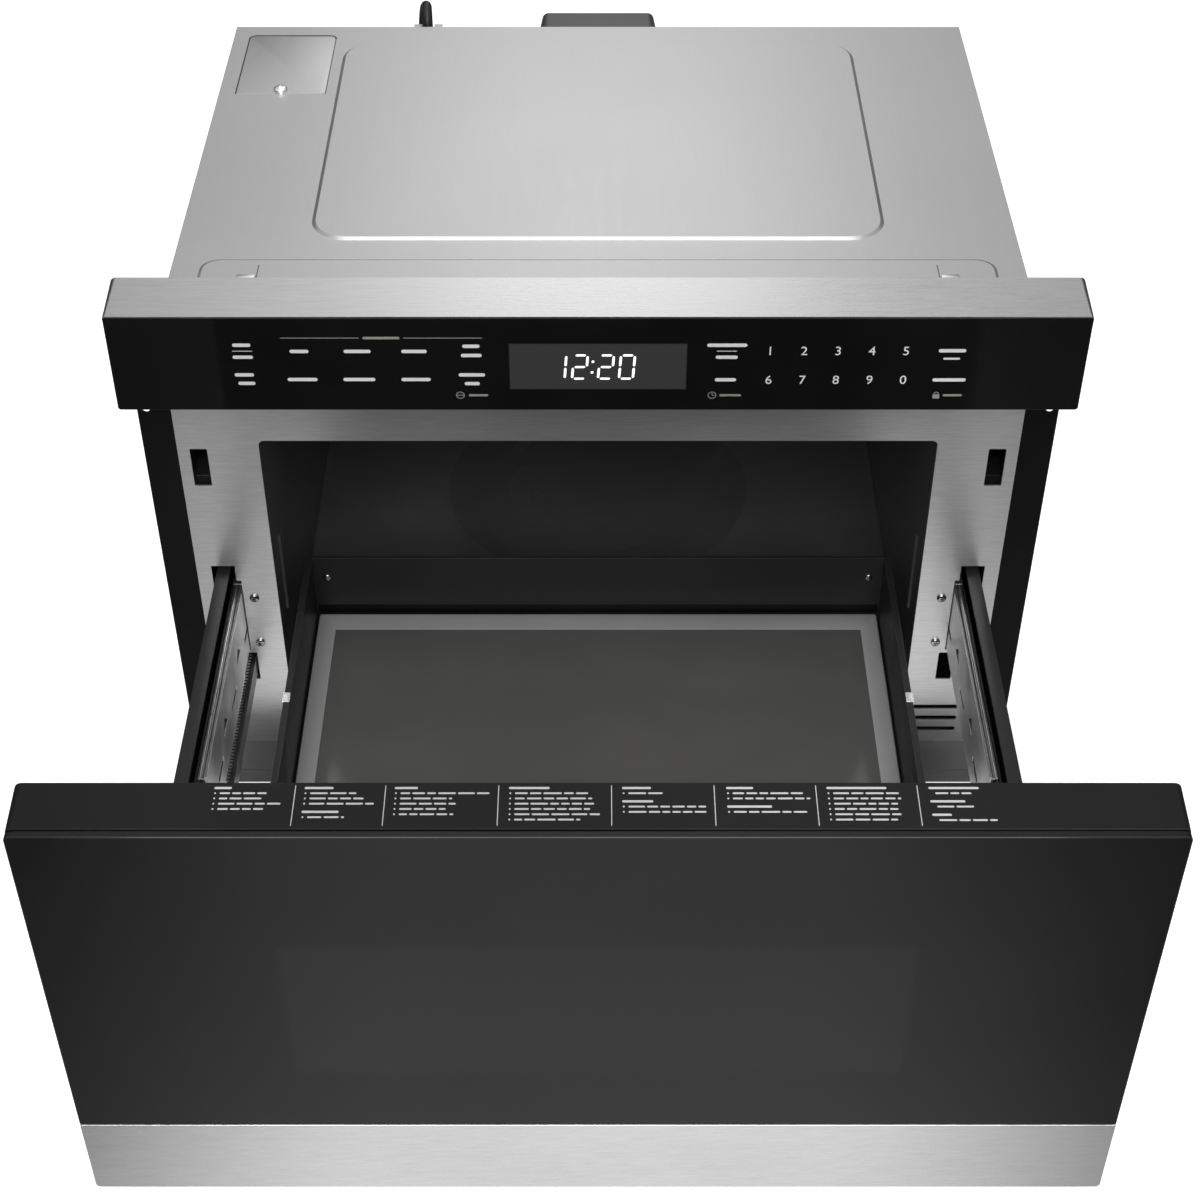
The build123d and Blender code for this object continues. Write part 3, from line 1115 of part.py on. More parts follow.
# ---- Drawer bin -------------------------------------------------------------------------------------
def bin_sides():
    """Folded side walls of the bin: lip outwards on top, foot inwards below."""
    face = rect(BIN_HALF_W, BIN_OUT, BIN_BOTTOM, BIN_TOP)
    face += rect(BIN_HALF_W, BIN_HALF_W + BIN_LIP, BIN_TOP - PLATE, BIN_TOP)
    face += rect(BIN_OUT - BIN_FOOT, BIN_OUT, BIN_BOTTOM, BIN_BOTTOM + PLATE)
    corner = face.vertices().sort_by_distance((BIN_OUT, BIN_BOTTOM))[0]
    wall = along_y(fillet(corner, PLATE * 0.9), PANEL_BACK, BIN_RETURN_Y)
    tab = rect(BIN_OUT, BIN_OUT + BIN_TAB, BIN_BOTTOM + BIN_TAB / 2, BIN_TOP - BIN_TAB / 2)
    return pair(wall + along_y(tab, PANEL_BACK, PANEL_BACK + PLATE))


def bin_rear_wall():
    """Black rear wall of the bin with its returns along the sides, a lip and a foot."""
    y0 = BIN_REAR_Y
    y1 = y0 + PLATE
    plan = rect(-BIN_OUT, BIN_OUT, y0, y1)
    for sign in (-1, 1):
        plan += Pos(sign * (BIN_HALF_W + PLATE / 2), (BIN_RETURN_Y + y1) / 2) * Rectangle(
            PLATE, y1 - BIN_RETURN_Y)
    wall = along_z(plan, BIN_BOTTOM, BIN_TOP)
    lip = rect(y0, y0 + BIN_REAR_LIP, BIN_TOP - SHEET, BIN_TOP)
    foot = rect(y0 - BIN_FOOT, y1, BIN_BOTTOM, BIN_BOTTOM + PLATE)
    wall += along_x(lip, -BIN_OUT, BIN_OUT) + along_x(foot, -BIN_OUT, BIN_OUT)
    side_lip = rect(BIN_HALF_W, BIN_HALF_W + BIN_LIP, BIN_TOP - PLATE, BIN_TOP)
    side_foot = rect(BIN_OUT - BIN_FOOT, BIN_OUT, BIN_BOTTOM, BIN_BOTTOM + PLATE)
    wall += pair(along_y(side_lip + side_foot, BIN_RETURN_Y, y1))
    for x in (BIN_SCREW_IN - BIN_HALF_W, BIN_HALF_W - BIN_SCREW_IN):
        wall -= bar_y(x, BIN_TOP - BIN_SCREW_DROP, SCREW_SHANK_R, y0 - 1, y1 + 1)
    return wall


def bin_screws():
    """Two screws in the rear wall of the bin."""
    screw = Pos(0, BIN_REAR_Y, BIN_TOP - BIN_SCREW_DROP) * Rot(90, 0, 0) * pan_screw(PLATE)
    return pair(Pos(BIN_HALF_W - BIN_SCREW_IN, 0, 0) * screw)


def bin_clips():
    """Small steel clips over the lips of the bin's side walls."""
    x1 = BIN_HALF_W + BIN_LIP
    top = rect(BIN_HALF_W, x1 + SHEET, BIN_TOP, BIN_TOP + SHEET)
    leg = rect(x1, x1 + SHEET, BIN_TOP - CLIP_DROP, BIN_TOP)
    return pair(along_y(top + leg, CLIP_Y, CLIP_Y + CLIP_L))


def tray_frame():
    """Frame that lies on the feet of the bin and holds the glass tray."""
    x1 = BIN_HALF_W - TRAY_GAP
    y0 = PANEL_BACK + TRAY_GAP
    y1 = BIN_REAR_Y - 2 * TRAY_GAP
    seat = tray_seat(0)
    body = along_z(round_rect(-x1, x1, y0, y1, TRAY_R / 2), TRAY_Z0, TRAY_TOP)
    body -= along_z(seat, TRAY_SEAT, TRAY_TOP + 1)
    body -= along_z(offset(seat, -TRAY_LEDGE), TRAY_Z0 - 1, TRAY_TOP)
    return chamfer(body.edges().group_by(Axis.Z)[-1], 0.6)


def tray_seat(gap):
    """Plan of the recess for the glass, or of the glass itself with its clearance."""
    x1 = BIN_HALF_W - TRAY_GAP - TRAY_BORDER - gap
    y0 = PANEL_BACK + TRAY_GAP + TRAY_END_BORDER + gap
    y1 = BIN_REAR_Y - 2 * TRAY_GAP - TRAY_END_BORDER - gap
    return round_rect(-x1, x1, y0, y1, TRAY_R)


def glass_tray():
    """Glass plate that the food stands on."""
    glass = along_z(tray_seat(RUN_GAP), TRAY_SEAT, TRAY_SEAT + TRAY_GLASS_T)
    return chamfer(glass.edges().group_by(Axis.Z)[-1], 0.5)


# ---- Power cord -------------------------------------------------------------------------------------
def strain_relief():
    """Elbow gland on the back panel with a tapered boot that points up."""
    r = CORD_D / 2
    z0 = BOOT_Z - BOOT_BASE
    base = along_z(round_rect(-CORD_CLIP_HALF_W, CORD_CLIP_HALF_W, BODY_D - CORD_Y, r + 3, 2.5), z0, BOOT_Z)
    boot = Cone(r + 3, r + 1.2, BOOT_L, align=(Align.CENTER, Align.CENTER, Align.MIN))
    neck = along_y(Pos(0, BOOT_Z - BOOT_BASE / 2) * Circle(r + 0.7), BACK_Y - CORD_Y - 3, BODY_D - CORD_Y)
    gland = base + Pos(0, 0, BOOT_Z) * boot + neck
    return Pos(CORD_X, CORD_Y, 0) * gland


def cord_clip():
    """Steel tab on the back panel with the notch that guides the cord upwards."""
    w = CORD_CLIP_HALF_W
    z1 = BODY_H - CORD_CLIP_DROP
    y1 = CORD_Y + CORD_D
    profile = rect(BODY_D, BODY_D + PLATE, z1 - CORD_CLIP_H, z1) + rect(BODY_D, y1, z1 - PLATE, z1)
    clip = along_x(profile, CORD_X - w, CORD_X + w)
    r = CORD_D / 2 + 0.8
    notch = Pos(CORD_X, CORD_Y) * Circle(r) + rect(CORD_X - r, CORD_X + r, CORD_Y, y1 + 1)
    return clip - along_z(notch, z1 - 2 * PLATE, z1 + 1)


def cord_run():
    """Free stretch of the cord from the boot to the coil on the floor."""
    points = [Vector(*p) for p in CORD_ROUTE]
    runs = [(b - a).length for a, b in zip(points, points[1:])]
    radii = []
    for n in range(1, len(points) - 1):
        turn = (points[n] - points[n - 1]).get_angle(points[n + 1] - points[n])
        shorter = min(runs[n - 1], runs[n])
        radii.append(0.45 * shorter / math.tan(math.radians(turn) / 2))
    path = FilletPolyline(*points, radius=radii)
    tube = sweep(Plane(origin=path @ 0, z_dir=path % 0) * Circle(CORD_D / 2), path=path)
    section = math.pi * CORD_D ** 2 / 4
    print("cord radii", [round(r, 1) for r in radii])
    print("cord run length", round(path.length, 1), "volume over section times length",
          round(tube.volume / (section * path.length), 4))
    return tube


def coil_point(turn):
    """Centre line of the coil: in and out again, a layer up where it reverses, fanned out at its end."""
    half = COIL_TURNS / 2
    radius = COIL_R - COIL_PITCH * (half - abs(turn - half))
    fan = min(1.0, max(0.0, (turn - COIL_TURNS + 0.5) / 0.5))
    radius += COIL_FAN * fan * fan * (3 - 2 * fan)
    climb = min(1.0, max(0.0, (turn - half + 0.25) / 0.5))
    height = CORD_FLOOR_Z + COIL_PITCH * climb * climb * (3 - 2 * climb)
    angle = math.pi - 2 * math.pi * turn
    return Vector(COIL_X + radius * math.cos(angle), COIL_Y + radius * math.sin(angle), height)


def coil_heading(turn):
    """Direction of the coil's centre line; its two ends lie level."""
    step = 0.02
    ahead = min(COIL_TURNS, turn + step)
    behind = max(0.0, turn - step)
    if turn <= 0:
        return Vector(0, 1, 0)
    return (coil_point(ahead) - coil_point(behind)).normalized()


def biarc(start, start_dir, end, end_dir):
    """Two arcs that join two points and keep both directions."""
    chord = end - start
    total = start_dir + end_dir
    a = total.dot(total) - 4
    b = -2 * chord.dot(total)
    reach = (-b - math.sqrt(b * b - 4 * a * chord.dot(chord))) / (2 * a)
    p = start + start_dir * reach
    q = end - end_dir * reach
    join = (p + q) / 2
    return [TangentArc(start, join, tangent=start_dir), TangentArc(join, end, tangent=q - p)]


def coil_end():
    """Where the coil ends, and its direction there."""
    heading = coil_heading(COIL_TURNS)
    return coil_point(COIL_TURNS) + heading * CORD_D, heading


def cord_coil():
    """Spare cord wound into a two-layer coil, one unbroken tube."""
    quarters = int(round(COIL_TURNS * 4))
    turns = [n / 4 for n in range(quarters + 1)]
    start = coil_point(0) - Vector(0, CORD_D, 0)
    edges = [Line(start, coil_point(0))]
    for a, b in zip(turns, turns[1:]):
        edges += biarc(coil_point(a), coil_heading(a), coil_point(b), coil_heading(b))
    edges.append(Line(coil_point(COIL_TURNS), coil_end()[0]))
    path = Wire(edges)
    tube = sweep(Plane(origin=start, z_dir=(0, 1, 0)) * Circle(CORD_D / 2), path=path)
    samples = [path @ (n / 400) for n in range(401)]
    step = path.length / 400
    apart = int(4 * CORD_D / step)
    gap = min((p - q).length for n, p in enumerate(samples) for q in samples[n + apart:])
    print("coil length", round(path.length, 1), "least gap to itself", round(gap - CORD_D, 2))
    return tube


def plug_plane():
    """Plane across the cord where the plug begins."""
    point, heading = coil_end()
    return Plane(origin=point, x_dir=heading.cross(Vector(0, 0, 1)), z_dir=heading)


def plug_body():
    """Moulded three-pin plug that lies beside the coil."""
    face = RectangleRounded(PLUG_W, PLUG_H, 5.0)
    shoulder = plug_plane().offset(PLUG_NOSE)
    body = loft([plug_plane() * Circle(CORD_D * 0.75), shoulder * face], ruled=True)
    return body + extrude(shoulder * face, PLUG_L - PLUG_NOSE)


def plug_blades():
    """Two flat blades and the round earth pin."""
    plane = plug_plane().offset(PLUG_L)
    blades = Part()
    for x in (-BLADE_SPREAD / 2, BLADE_SPREAD / 2):
        blades += extrude(plane * Pos(x, BLADE_SPREAD / 4) * Rectangle(1.5, BLADE_SPREAD / 2), BLADE_L)
    pin = plane * Pos(0, -BLADE_SPREAD * 0.63) * Circle(EARTH_PIN_R)
    return blades + extrude(pin, BLADE_L * 1.15)


# ---- Parts ------------------------------------------------------------------------------------------
FIXED = {
    "base_pan": base_pan(),
    "face_plate": face_plate(),
    "mount_flanges": mount_flanges(),
    "side_panels": side_panels(),
    "back_panel": back_panel(),
    "top_cover": top_cover(),
    "access_cover": access_cover(),
    "component_tray": component_tray(),
    "casing_screws": casing_screws(),
    "cavity_liner": cavity_liner(),
    "antenna_cover": antenna_cover(),
    "antenna_well": antenna_well(),
    "floor_waveguide": floor_waveguide(),
    "rear_waveguide": rear_waveguide(),
    "stirrer_antenna": stirrer_antenna(),
    "antenna_motor": antenna_motor(),
    "magnetron": magnetron(),
    "transformer_core": transformer_core(),
    "transformer_windings": transformer_windings(),
    "hv_capacitor": hv_capacitor(),
    "fan_shroud": fan_shroud(),
    "fan_rotor": fan_rotor(),
    "fan_motor": fan_motor(),
    "control_housing": control_housing(),
    "control_trim": control_trim(),
    "control_glass": control_glass(),
    "control_board": control_board(),
    "control_rear_cover": control_rear_cover(),
    "slide_brackets": slide_brackets(),
    "slide_cabinet_members": pair(slide_cabinet_member()),
    "drive_gearbox": drive_gearbox(),
    "drive_motor": drive_motor(),
    "drive_pinion": drive_pinion(),
    "latch_brackets": latch_brackets(),
    "strain_relief": strain_relief(),
    "cord_clip": cord_clip(),
    "cord_run": cord_run(),
    "cord_coil": cord_coil(),
    "plug_body": plug_body(),
    "plug_blades": plug_blades(),
}

DRAWER = {
    "drawer_frame": drawer_frame(),
    "drawer_glass": drawer_glass(),
    "drawer_trim": drawer_trim(),
    "inner_panel": inner_panel(),
    "window_screen": window_screen(),
    "choke_cover": choke_cover(),
    "latch_hooks": latch_hooks(),
    "support_arms": support_arms(),
    "slide_drawer_members": pair(slide_drawer_member()),
    "drive_rack": drive_rack(),
    "bin_sides": bin_sides(),
    "bin_rear_wall": bin_rear_wall(),
    "bin_screws": bin_screws(),
    "bin_clips": bin_clips(),
    "tray_frame": tray_frame(),
    "glass_tray": glass_tray(),
}

PART_WAY = {
    "slide_mid_right": (slide_mid_member(), 0.5),
    "slide_mid_left": (left(slide_mid_member()), 0.5),
    "ball_cages_outer": (ball_cages_outer(), 0.25),
    "ball_cages_inner": (ball_cages_inner(), 0.75),
}

os.makedirs("parts", exist_ok=True)
parts = dict(FIXED)
parts.update({name: Pos(0, -STROKE, 0) * shape for name, shape in DRAWER.items()})
parts.update({name: Pos(0, -STROKE * share, 0) * shape for name, (shape, share) in PART_WAY.items()})
for name, shape in parts.items():
    export_step(shape, os.path.join("parts", name + ".step"))
print(len(parts), "parts")
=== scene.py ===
"""A built-in microwave drawer, drawn out: finishes, fine detail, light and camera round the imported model."""
import json
import math
import random

import bmesh
import bpy
from mathutils import Matrix, Vector

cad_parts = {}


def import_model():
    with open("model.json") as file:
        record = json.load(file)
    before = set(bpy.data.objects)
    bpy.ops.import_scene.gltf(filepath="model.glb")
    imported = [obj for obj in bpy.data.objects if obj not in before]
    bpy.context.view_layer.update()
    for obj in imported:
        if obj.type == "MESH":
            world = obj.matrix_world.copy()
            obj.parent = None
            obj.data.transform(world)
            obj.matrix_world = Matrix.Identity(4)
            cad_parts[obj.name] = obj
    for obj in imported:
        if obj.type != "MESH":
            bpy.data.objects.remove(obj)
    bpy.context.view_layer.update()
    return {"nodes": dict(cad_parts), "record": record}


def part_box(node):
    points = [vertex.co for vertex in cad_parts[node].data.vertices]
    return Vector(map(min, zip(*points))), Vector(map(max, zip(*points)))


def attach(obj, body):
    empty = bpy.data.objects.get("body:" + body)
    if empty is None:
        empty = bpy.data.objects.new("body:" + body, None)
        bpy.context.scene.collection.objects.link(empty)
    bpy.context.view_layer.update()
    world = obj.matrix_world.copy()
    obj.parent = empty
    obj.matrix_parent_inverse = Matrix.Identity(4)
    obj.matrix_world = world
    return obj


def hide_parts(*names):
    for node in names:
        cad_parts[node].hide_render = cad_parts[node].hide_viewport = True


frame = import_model()
scene = bpy.context.scene

# Sizes are in mm unless a comment says otherwise.
MM = 0.001
TRAVEL = 355.6             # the drawer stands this far out of the cabinet
CASING_TOP = 376.0
CASING_SIDE = 278.65
CASING_REAR = 401.8
FACE_Y = -1.2              # front of the steel face plate
FRONT_Y = -42.2            # front of the control glass
DOOR_Y = FRONT_Y - TRAVEL  # front of the drawer glass
DOOR_TOP = 331.2
DOOR_SLOPE = math.radians(2.3)
FULL_TURN = 2 * math.pi


# ---- Camera ------------------------------------------------------------------------
SENSOR = 36.0
LENS = 64.24
SHIFT_X = 0.00167
FAR_CLIP = 20.0                      # metres, as the camera's place
CAMERA_PLACE = (0.0, -1.1301, 1.1376)
CAMERA_TILT = math.radians(48.641)   # up from straight down


def set_camera():
    """High in front of the drawer, looking down into it."""
    data = bpy.data.cameras.new("camera")
    data.sensor_width = SENSOR
    data.lens = LENS
    data.shift_x = SHIFT_X
    data.clip_end = FAR_CLIP
    camera = bpy.data.objects.new("camera", data)
    camera.location = CAMERA_PLACE
    camera.rotation_euler = (CAMERA_TILT, 0.0, 0.0)
    scene.collection.objects.link(camera)
    scene.camera = camera


set_camera()


# ---- Shared effects ----------------------------------------------------------------
FINE_SHARE = 0.62          # weight of the fine lines in the shade; the wide bands have the rest
BAND_SCALE = 0.16          # the wide bands' scale beside the fine lines'
LINE_SHARE = 0.65          # weight of the lines in a finish's tone; the patches have the rest
BUMP_DEPTH = 0.0004        # metres


class Net:
    """Adds nodes to a tree and links them in one line."""

    def __init__(self, tree):
        self.tree = tree

    def feed(self, socket, value):
        if isinstance(value, bpy.types.NodeSocket):
            self.tree.links.new(value, socket)
        else:
            socket.default_value = value

    def add(self, kind, inputs=(), **settings):
        node = self.tree.nodes.new(kind)
        for key, value in settings.items():
            setattr(node, key, value)
        for key, value in dict(inputs).items():
            self.feed(node.inputs[key], value)
        return node

    def group(self, tree, inputs):
        return self.add("ShaderNodeGroup", inputs, node_tree=tree).outputs

    def math(self, operation, a, b=0.0):
        return self.add("ShaderNodeMath", {0: a, 1: b}, operation=operation).outputs[0]

    def spread(self, value, low, high, to_low=0.0, to_high=1.0):
        ranges = {"Value": value, "From Min": low, "From Max": high, "To Min": to_low, "To Max": to_high}
        return self.add("ShaderNodeMapRange", ranges, interpolation_type="SMOOTHSTEP").outputs[0]

    def blend(self, amount, first, second):
        node = self.add("ShaderNodeMix", data_type="RGBA")
        for key, value in {"Factor": amount, "A": first, "B": second}.items():
            self.feed([s for s in node.inputs if s.name == key and s.enabled][0], value)
        return [s for s in node.outputs if s.enabled][0]


def effect(name, inputs, outputs):
    """An empty shared effect: its tree, its inputs' sockets and the node that takes its outputs."""
    tree = bpy.data.node_groups.new(name, "ShaderNodeTree")
    for label, kind in inputs:
        tree.interface.new_socket(name=label, in_out="INPUT", socket_type=kind)
    for label in outputs:
        tree.interface.new_socket(name=label, in_out="OUTPUT", socket_type="NodeSocketFloat")
    net = Net(tree)
    return net, net.add("NodeGroupInput").outputs, net.add("NodeGroupOutput").inputs


def drawn_lines():
    """Fine lines of rolled or brushed metal, long the way Scale is small."""
    net, given, result = effect("drawn_lines", [("Scale", "NodeSocketVector")], ["Shade", "Height"])
    place = net.add("ShaderNodeTexCoord").outputs["Object"]
    fine = net.add("ShaderNodeVectorMath", {0: place, 1: given["Scale"]}, operation="MULTIPLY").outputs[0]
    wide = net.add("ShaderNodeVectorMath", {0: fine, "Scale": BAND_SCALE}, operation="SCALE").outputs[0]
    lines = net.add("ShaderNodeTexNoise", {"Vector": fine, "Scale": 1.0, "Detail": 3.0, "Roughness": 0.7})
    bands = net.add("ShaderNodeTexNoise", {"Vector": wide, "Scale": 1.0, "Detail": 2.0})
    thin = net.math("MULTIPLY", net.spread(lines.outputs[0], 0.3, 0.7), FINE_SHARE)
    broad = net.math("MULTIPLY", bands.outputs[0], 1.0 - FINE_SHARE)
    net.feed(result["Shade"], net.math("ADD", thin, broad))
    net.feed(result["Height"], lines.outputs[0])
    return net.tree


def soft_patches():
    """Slow change of tone over a sheet, as from rolling, handling and wiping."""
    net, given, result = effect("soft_patches", [("Scale", "NodeSocketFloat")], ["Mask"])
    place = net.add("ShaderNodeTexCoord").outputs["Object"]
    cloud = net.add("ShaderNodeTexNoise",
                    {"Vector": place, "Scale": given["Scale"], "Detail": 3.0, "Distortion": 0.6})
    net.feed(result["Mask"], net.spread(cloud.outputs[0], 0.35, 0.65))
    return net.tree


def fine_tooth():
    """The tooth of powder coat, enamel and spark-eroded moulds."""
    net, given, result = effect("fine_tooth", [("Scale", "NodeSocketFloat")], ["Height"])
    place = net.add("ShaderNodeTexCoord").outputs["Object"]
    grains = net.add("ShaderNodeTexNoise",
                     {"Vector": place, "Scale": given["Scale"], "Detail": 2.0, "Roughness": 0.6})
    net.feed(result["Height"], grains.outputs[0])
    return net.tree


def soft_window():
    """One inside a rectangle of the (X, Z) plane and zero outside, with a soft edge; sizes in metres."""
    labels = ("Middle Z", "Half width", "Half height", "Edge")
    net, given, result = effect("soft_window", [(label, "NodeSocketFloat") for label in labels], ["Mask"])
    place = net.add("ShaderNodeTexCoord").outputs["Object"]
    axes = net.add("ShaderNodeSeparateXYZ", {0: place}).outputs
    masks = []
    for from_middle, half in ((axes["X"], "Half width"),
                              (net.math("SUBTRACT", axes["Z"], given["Middle Z"]), "Half height")):
        away = net.math("ABSOLUTE", from_middle)
        inside = net.math("DIVIDE", net.math("SUBTRACT", given[half], away), given["Edge"])
        masks.append(net.spread(inside, -0.5, 0.5))
    net.feed(result["Mask"], net.math("MULTIPLY", masks[0], masks[1]))
    return net.tree


LINES = drawn_lines()
PATCHES = soft_patches()
TOOTH = fine_tooth()
WINDOW = soft_window()


# ---- Finishes ----------------------------------------------------------------------
def grey(level, warm=0.0):
    """A grey as an RGBA colour, warmer or cooler by a little."""
    return (level * (1 + warm), level, level * (1 - warm), 1.0)


def finish(name, dark, light, roughness, metallic=0.0, specular=0.5, lines=None, line_bump=0.0, tooth=900.0,
           tooth_bump=0.0, patches=6.0, wear_and_highlight=None, window=None):
    """A procedural finish: patches and lines in its colour, changing gloss, bump, and a lighter rim colour on
    edges, part rubbed wear and part painted highlight.
    """
    material = bpy.data.materials.new(name)
    material.use_nodes = True
    net = Net(material.node_tree)
    shader = material.node_tree.nodes["Principled BSDF"].inputs
    shader["Metallic"].default_value = metallic
    shader["Specular IOR Level"].default_value = specular
    tone = net.group(PATCHES, {"Scale": patches})["Mask"]
    height = net.group(TOOTH, {"Scale": tooth})["Height"]
    bump = tooth_bump
    if lines:
        drawn = net.group(LINES, {"Scale": lines})
        share = net.math("MULTIPLY", drawn["Shade"], LINE_SHARE)
        tone = net.math("ADD", share, net.math("MULTIPLY", tone, 1.0 - LINE_SHARE))
        height = drawn["Height"]
        bump = line_bump
    colour = net.blend(tone, dark, light)
    if window:
        glow = net.group(WINDOW, window["place"])
        colour = net.blend(glow["Mask"], colour, window["colour"])
    # Rim colour on the rounded edges: part rubbed wear, part painted highlight; on the side faces of slides
    # and rack it is painted light.
    if wear_and_highlight:
        wear_and_light_rim = net.add("ShaderNodeAttribute", attribute_name="edge", attribute_type="GEOMETRY").outputs["Fac"]
        rubbed_and_lit = net.math("MULTIPLY", wear_and_light_rim, net.spread(tone, 0.0, 1.0, 0.35, 0.9))
        colour = net.blend(rubbed_and_lit, colour, wear_and_highlight)
    net.feed(shader["Base Color"], colour)
    net.feed(shader["Roughness"], net.spread(tone, 0.0, 1.0, roughness[0], roughness[1]))
    if bump:
        raised = net.add("ShaderNodeBump", {"Height": height, "Strength": bump, "Distance": BUMP_DEPTH})
        net.feed(shader["Normal"], raised.outputs["Normal"])
    return material


ALONG_X = (50.0, 900.0, 900.0)
ALONG_Y = (1500.0, 40.0, 1500.0)
ALONG_Z = (1300.0, 1300.0, 30.0)
# The window of the door and the clock's display in their glass, in metres, both on the middle line.
DOOR_WINDOW = {"Middle Z": 0.18975, "Half width": 0.171, "Half height": 0.05475, "Edge": 0.004}
DISPLAY = {"Middle Z": 0.37, "Half width": 0.0547, "Half height": 0.017, "Edge": 0.0008}

# One finish for each material slot of the record.
FINISHES = {
    "galvanised": finish("galvanised_sheet", grey(0.475), grey(0.525), (0.38, 0.45), 0.88, lines=ALONG_Y,
                         line_bump=0.05, patches=3.0, wear_and_highlight=grey(0.60)),
    "stainless": finish("brushed_stainless", grey(0.57), grey(0.74), (0.25, 0.34), 1.0, lines=ALONG_X,
                        line_bump=0.13, patches=4.0, wear_and_highlight=grey(0.80)),
    "plated_steel": finish("zinc_plated_steel", grey(0.46), grey(0.62), (0.22, 0.36), 1.0, lines=ALONG_Y,
                           line_bump=0.06, patches=14.0, wear_and_highlight=grey(0.85)),
    "black_steel": finish("black_powder_coat", grey(0.014), grey(0.021), (0.40, 0.52), specular=0.28,
                          tooth=1400.0, tooth_bump=0.12, wear_and_highlight=grey(0.09)),
    "black_plastic": finish("black_moulding", grey(0.006), grey(0.010), (0.36, 0.46), specular=0.2,
                            tooth=2600.0, tooth_bump=0.05, wear_and_highlight=grey(0.03)),
    "enamel": finish("black_enamel", grey(0.030), grey(0.042), (0.24, 0.36), tooth=220.0, tooth_bump=0.03,
                     wear_and_highlight=grey(0.07)),
    "mica_glass": finish("ceramic_cover", grey(0.066), grey(0.084), (0.20, 0.28), tooth=300.0,
                         tooth_bump=0.02, wear_and_highlight=grey(0.08)),
    "aluminium": finish("stamped_aluminium", grey(0.62), grey(0.78), (0.28, 0.4), 1.0, lines=ALONG_X,
                        line_bump=0.06, wear_and_highlight=grey(0.9)),
    "tray_glass": finish("smoked_glass_tray", grey(0.104, 0.02), grey(0.114, 0.02), (0.12, 0.16),
                         tooth=160.0, tooth_bump=0.01, patches=9.0, wear_and_highlight=grey(0.16)),
    "tray_frame": finish("satin_grey_frame", grey(0.33), grey(0.38), (0.36, 0.46), 0.1, tooth=1600.0,
                         tooth_bump=0.05, wear_and_highlight=grey(0.42)),
    "grey_plastic": finish("grey_acetal", grey(0.14), grey(0.19), (0.36, 0.46), tooth=1500.0,
                           tooth_bump=0.05, wear_and_highlight=grey(0.26)),
    "white_plastic": finish("white_acetal", grey(0.62, 0.02), grey(0.72, 0.02), (0.34, 0.44), tooth=1500.0,
                            tooth_bump=0.05, wear_and_highlight=grey(0.8)),
    # Also the painted shade of the folds beside the top cover's tabs.
    "motor_steel": finish("laminated_steel_and_fold_shade", grey(0.13), grey(0.22), (0.34, 0.5), 0.8, lines=ALONG_Z,
                          line_bump=0.2, wear_and_highlight=grey(0.4)),
    "copper_winding": finish("enamelled_copper", (0.28, 0.10, 0.035, 1), (0.52, 0.24, 0.10, 1), (0.2, 0.35),
                             0.9, lines=ALONG_X, line_bump=0.5, wear_and_highlight=(0.6, 0.3, 0.14, 1)),
    "circuit_board": finish("green_laminate", (0.02, 0.09, 0.035, 1), (0.04, 0.16, 0.06, 1), (0.3, 0.45),
                            lines=(300.0, 300.0, 90.0), line_bump=0.1, wear_and_highlight=(0.2, 0.22, 0.12, 1)),
    "cord_black": finish("cord_jacket", grey(0.010), grey(0.017), (0.42, 0.55), specular=0.4, tooth=1800.0,
                         tooth_bump=0.06, wear_and_highlight=grey(0.03)),
    "brass": finish("nickel_brass", (0.52, 0.42, 0.20, 1), (0.70, 0.58, 0.30, 1), (0.2, 0.32), 1.0,
                    lines=ALONG_Y, line_bump=0.06, wear_and_highlight=(0.85, 0.72, 0.42, 1)),
    "black_glass": finish("black_control_glass", grey(0.0050), grey(0.0065), (0.05, 0.08), specular=0.11,
                          tooth=60.0, patches=11.0, wear_and_highlight=grey(0.03),
                          window={"place": DISPLAY, "colour": grey(0.042)}),
}

# Finishes of single pieces and small parts.
DOOR_GLASS = finish("black_door_glass", grey(0.0050), grey(0.0065), (0.05, 0.085), specular=0.22, tooth=60.0,
                    patches=9.0, wear_and_highlight=grey(0.03), window={"place": DOOR_WINDOW, "colour": grey(0.0095)})
PLATE_STEEL = finish("face_plate_steel", grey(0.67), grey(0.92), (0.29, 0.36), 0.9, lines=ALONG_X,
                     line_bump=0.12, patches=5.0, wear_and_highlight=grey(0.78))
# The duct's steel, darker than the galvanised sheet.
DARK_DUCT_STEEL = finish("dark_duct_steel", grey(0.13), grey(0.17), (0.40, 0.5), 0.85, lines=ALONG_Z,
                    line_bump=0.05, wear_and_highlight=grey(0.3))
# Painted shade: the base pan made darker as it lies in shade under the drawer.
SHADED_BASE_STEEL = finish("base_steel_painted_shade", grey(0.075), grey(0.10), (0.40, 0.5), 0.5, lines=ALONG_X,
                    line_bump=0.05, wear_and_highlight=grey(0.2))
# Dark rack steel; its lighter rim colour is painted light on the rack's side faces and teeth.
RACK_STEEL = finish("dark_rack_steel_lit_sides", grey(0.020), grey(0.028), (0.34, 0.46), 0.4, tooth_bump=0.02,
                    patches=20.0, wear_and_highlight=grey(0.36))
CAP_STEEL = finish("brushed_cap_steel", grey(0.385), grey(0.545), (0.25, 0.34), 1.0, lines=ALONG_X,
                   line_bump=0.12, patches=4.0, wear_and_highlight=grey(0.72))
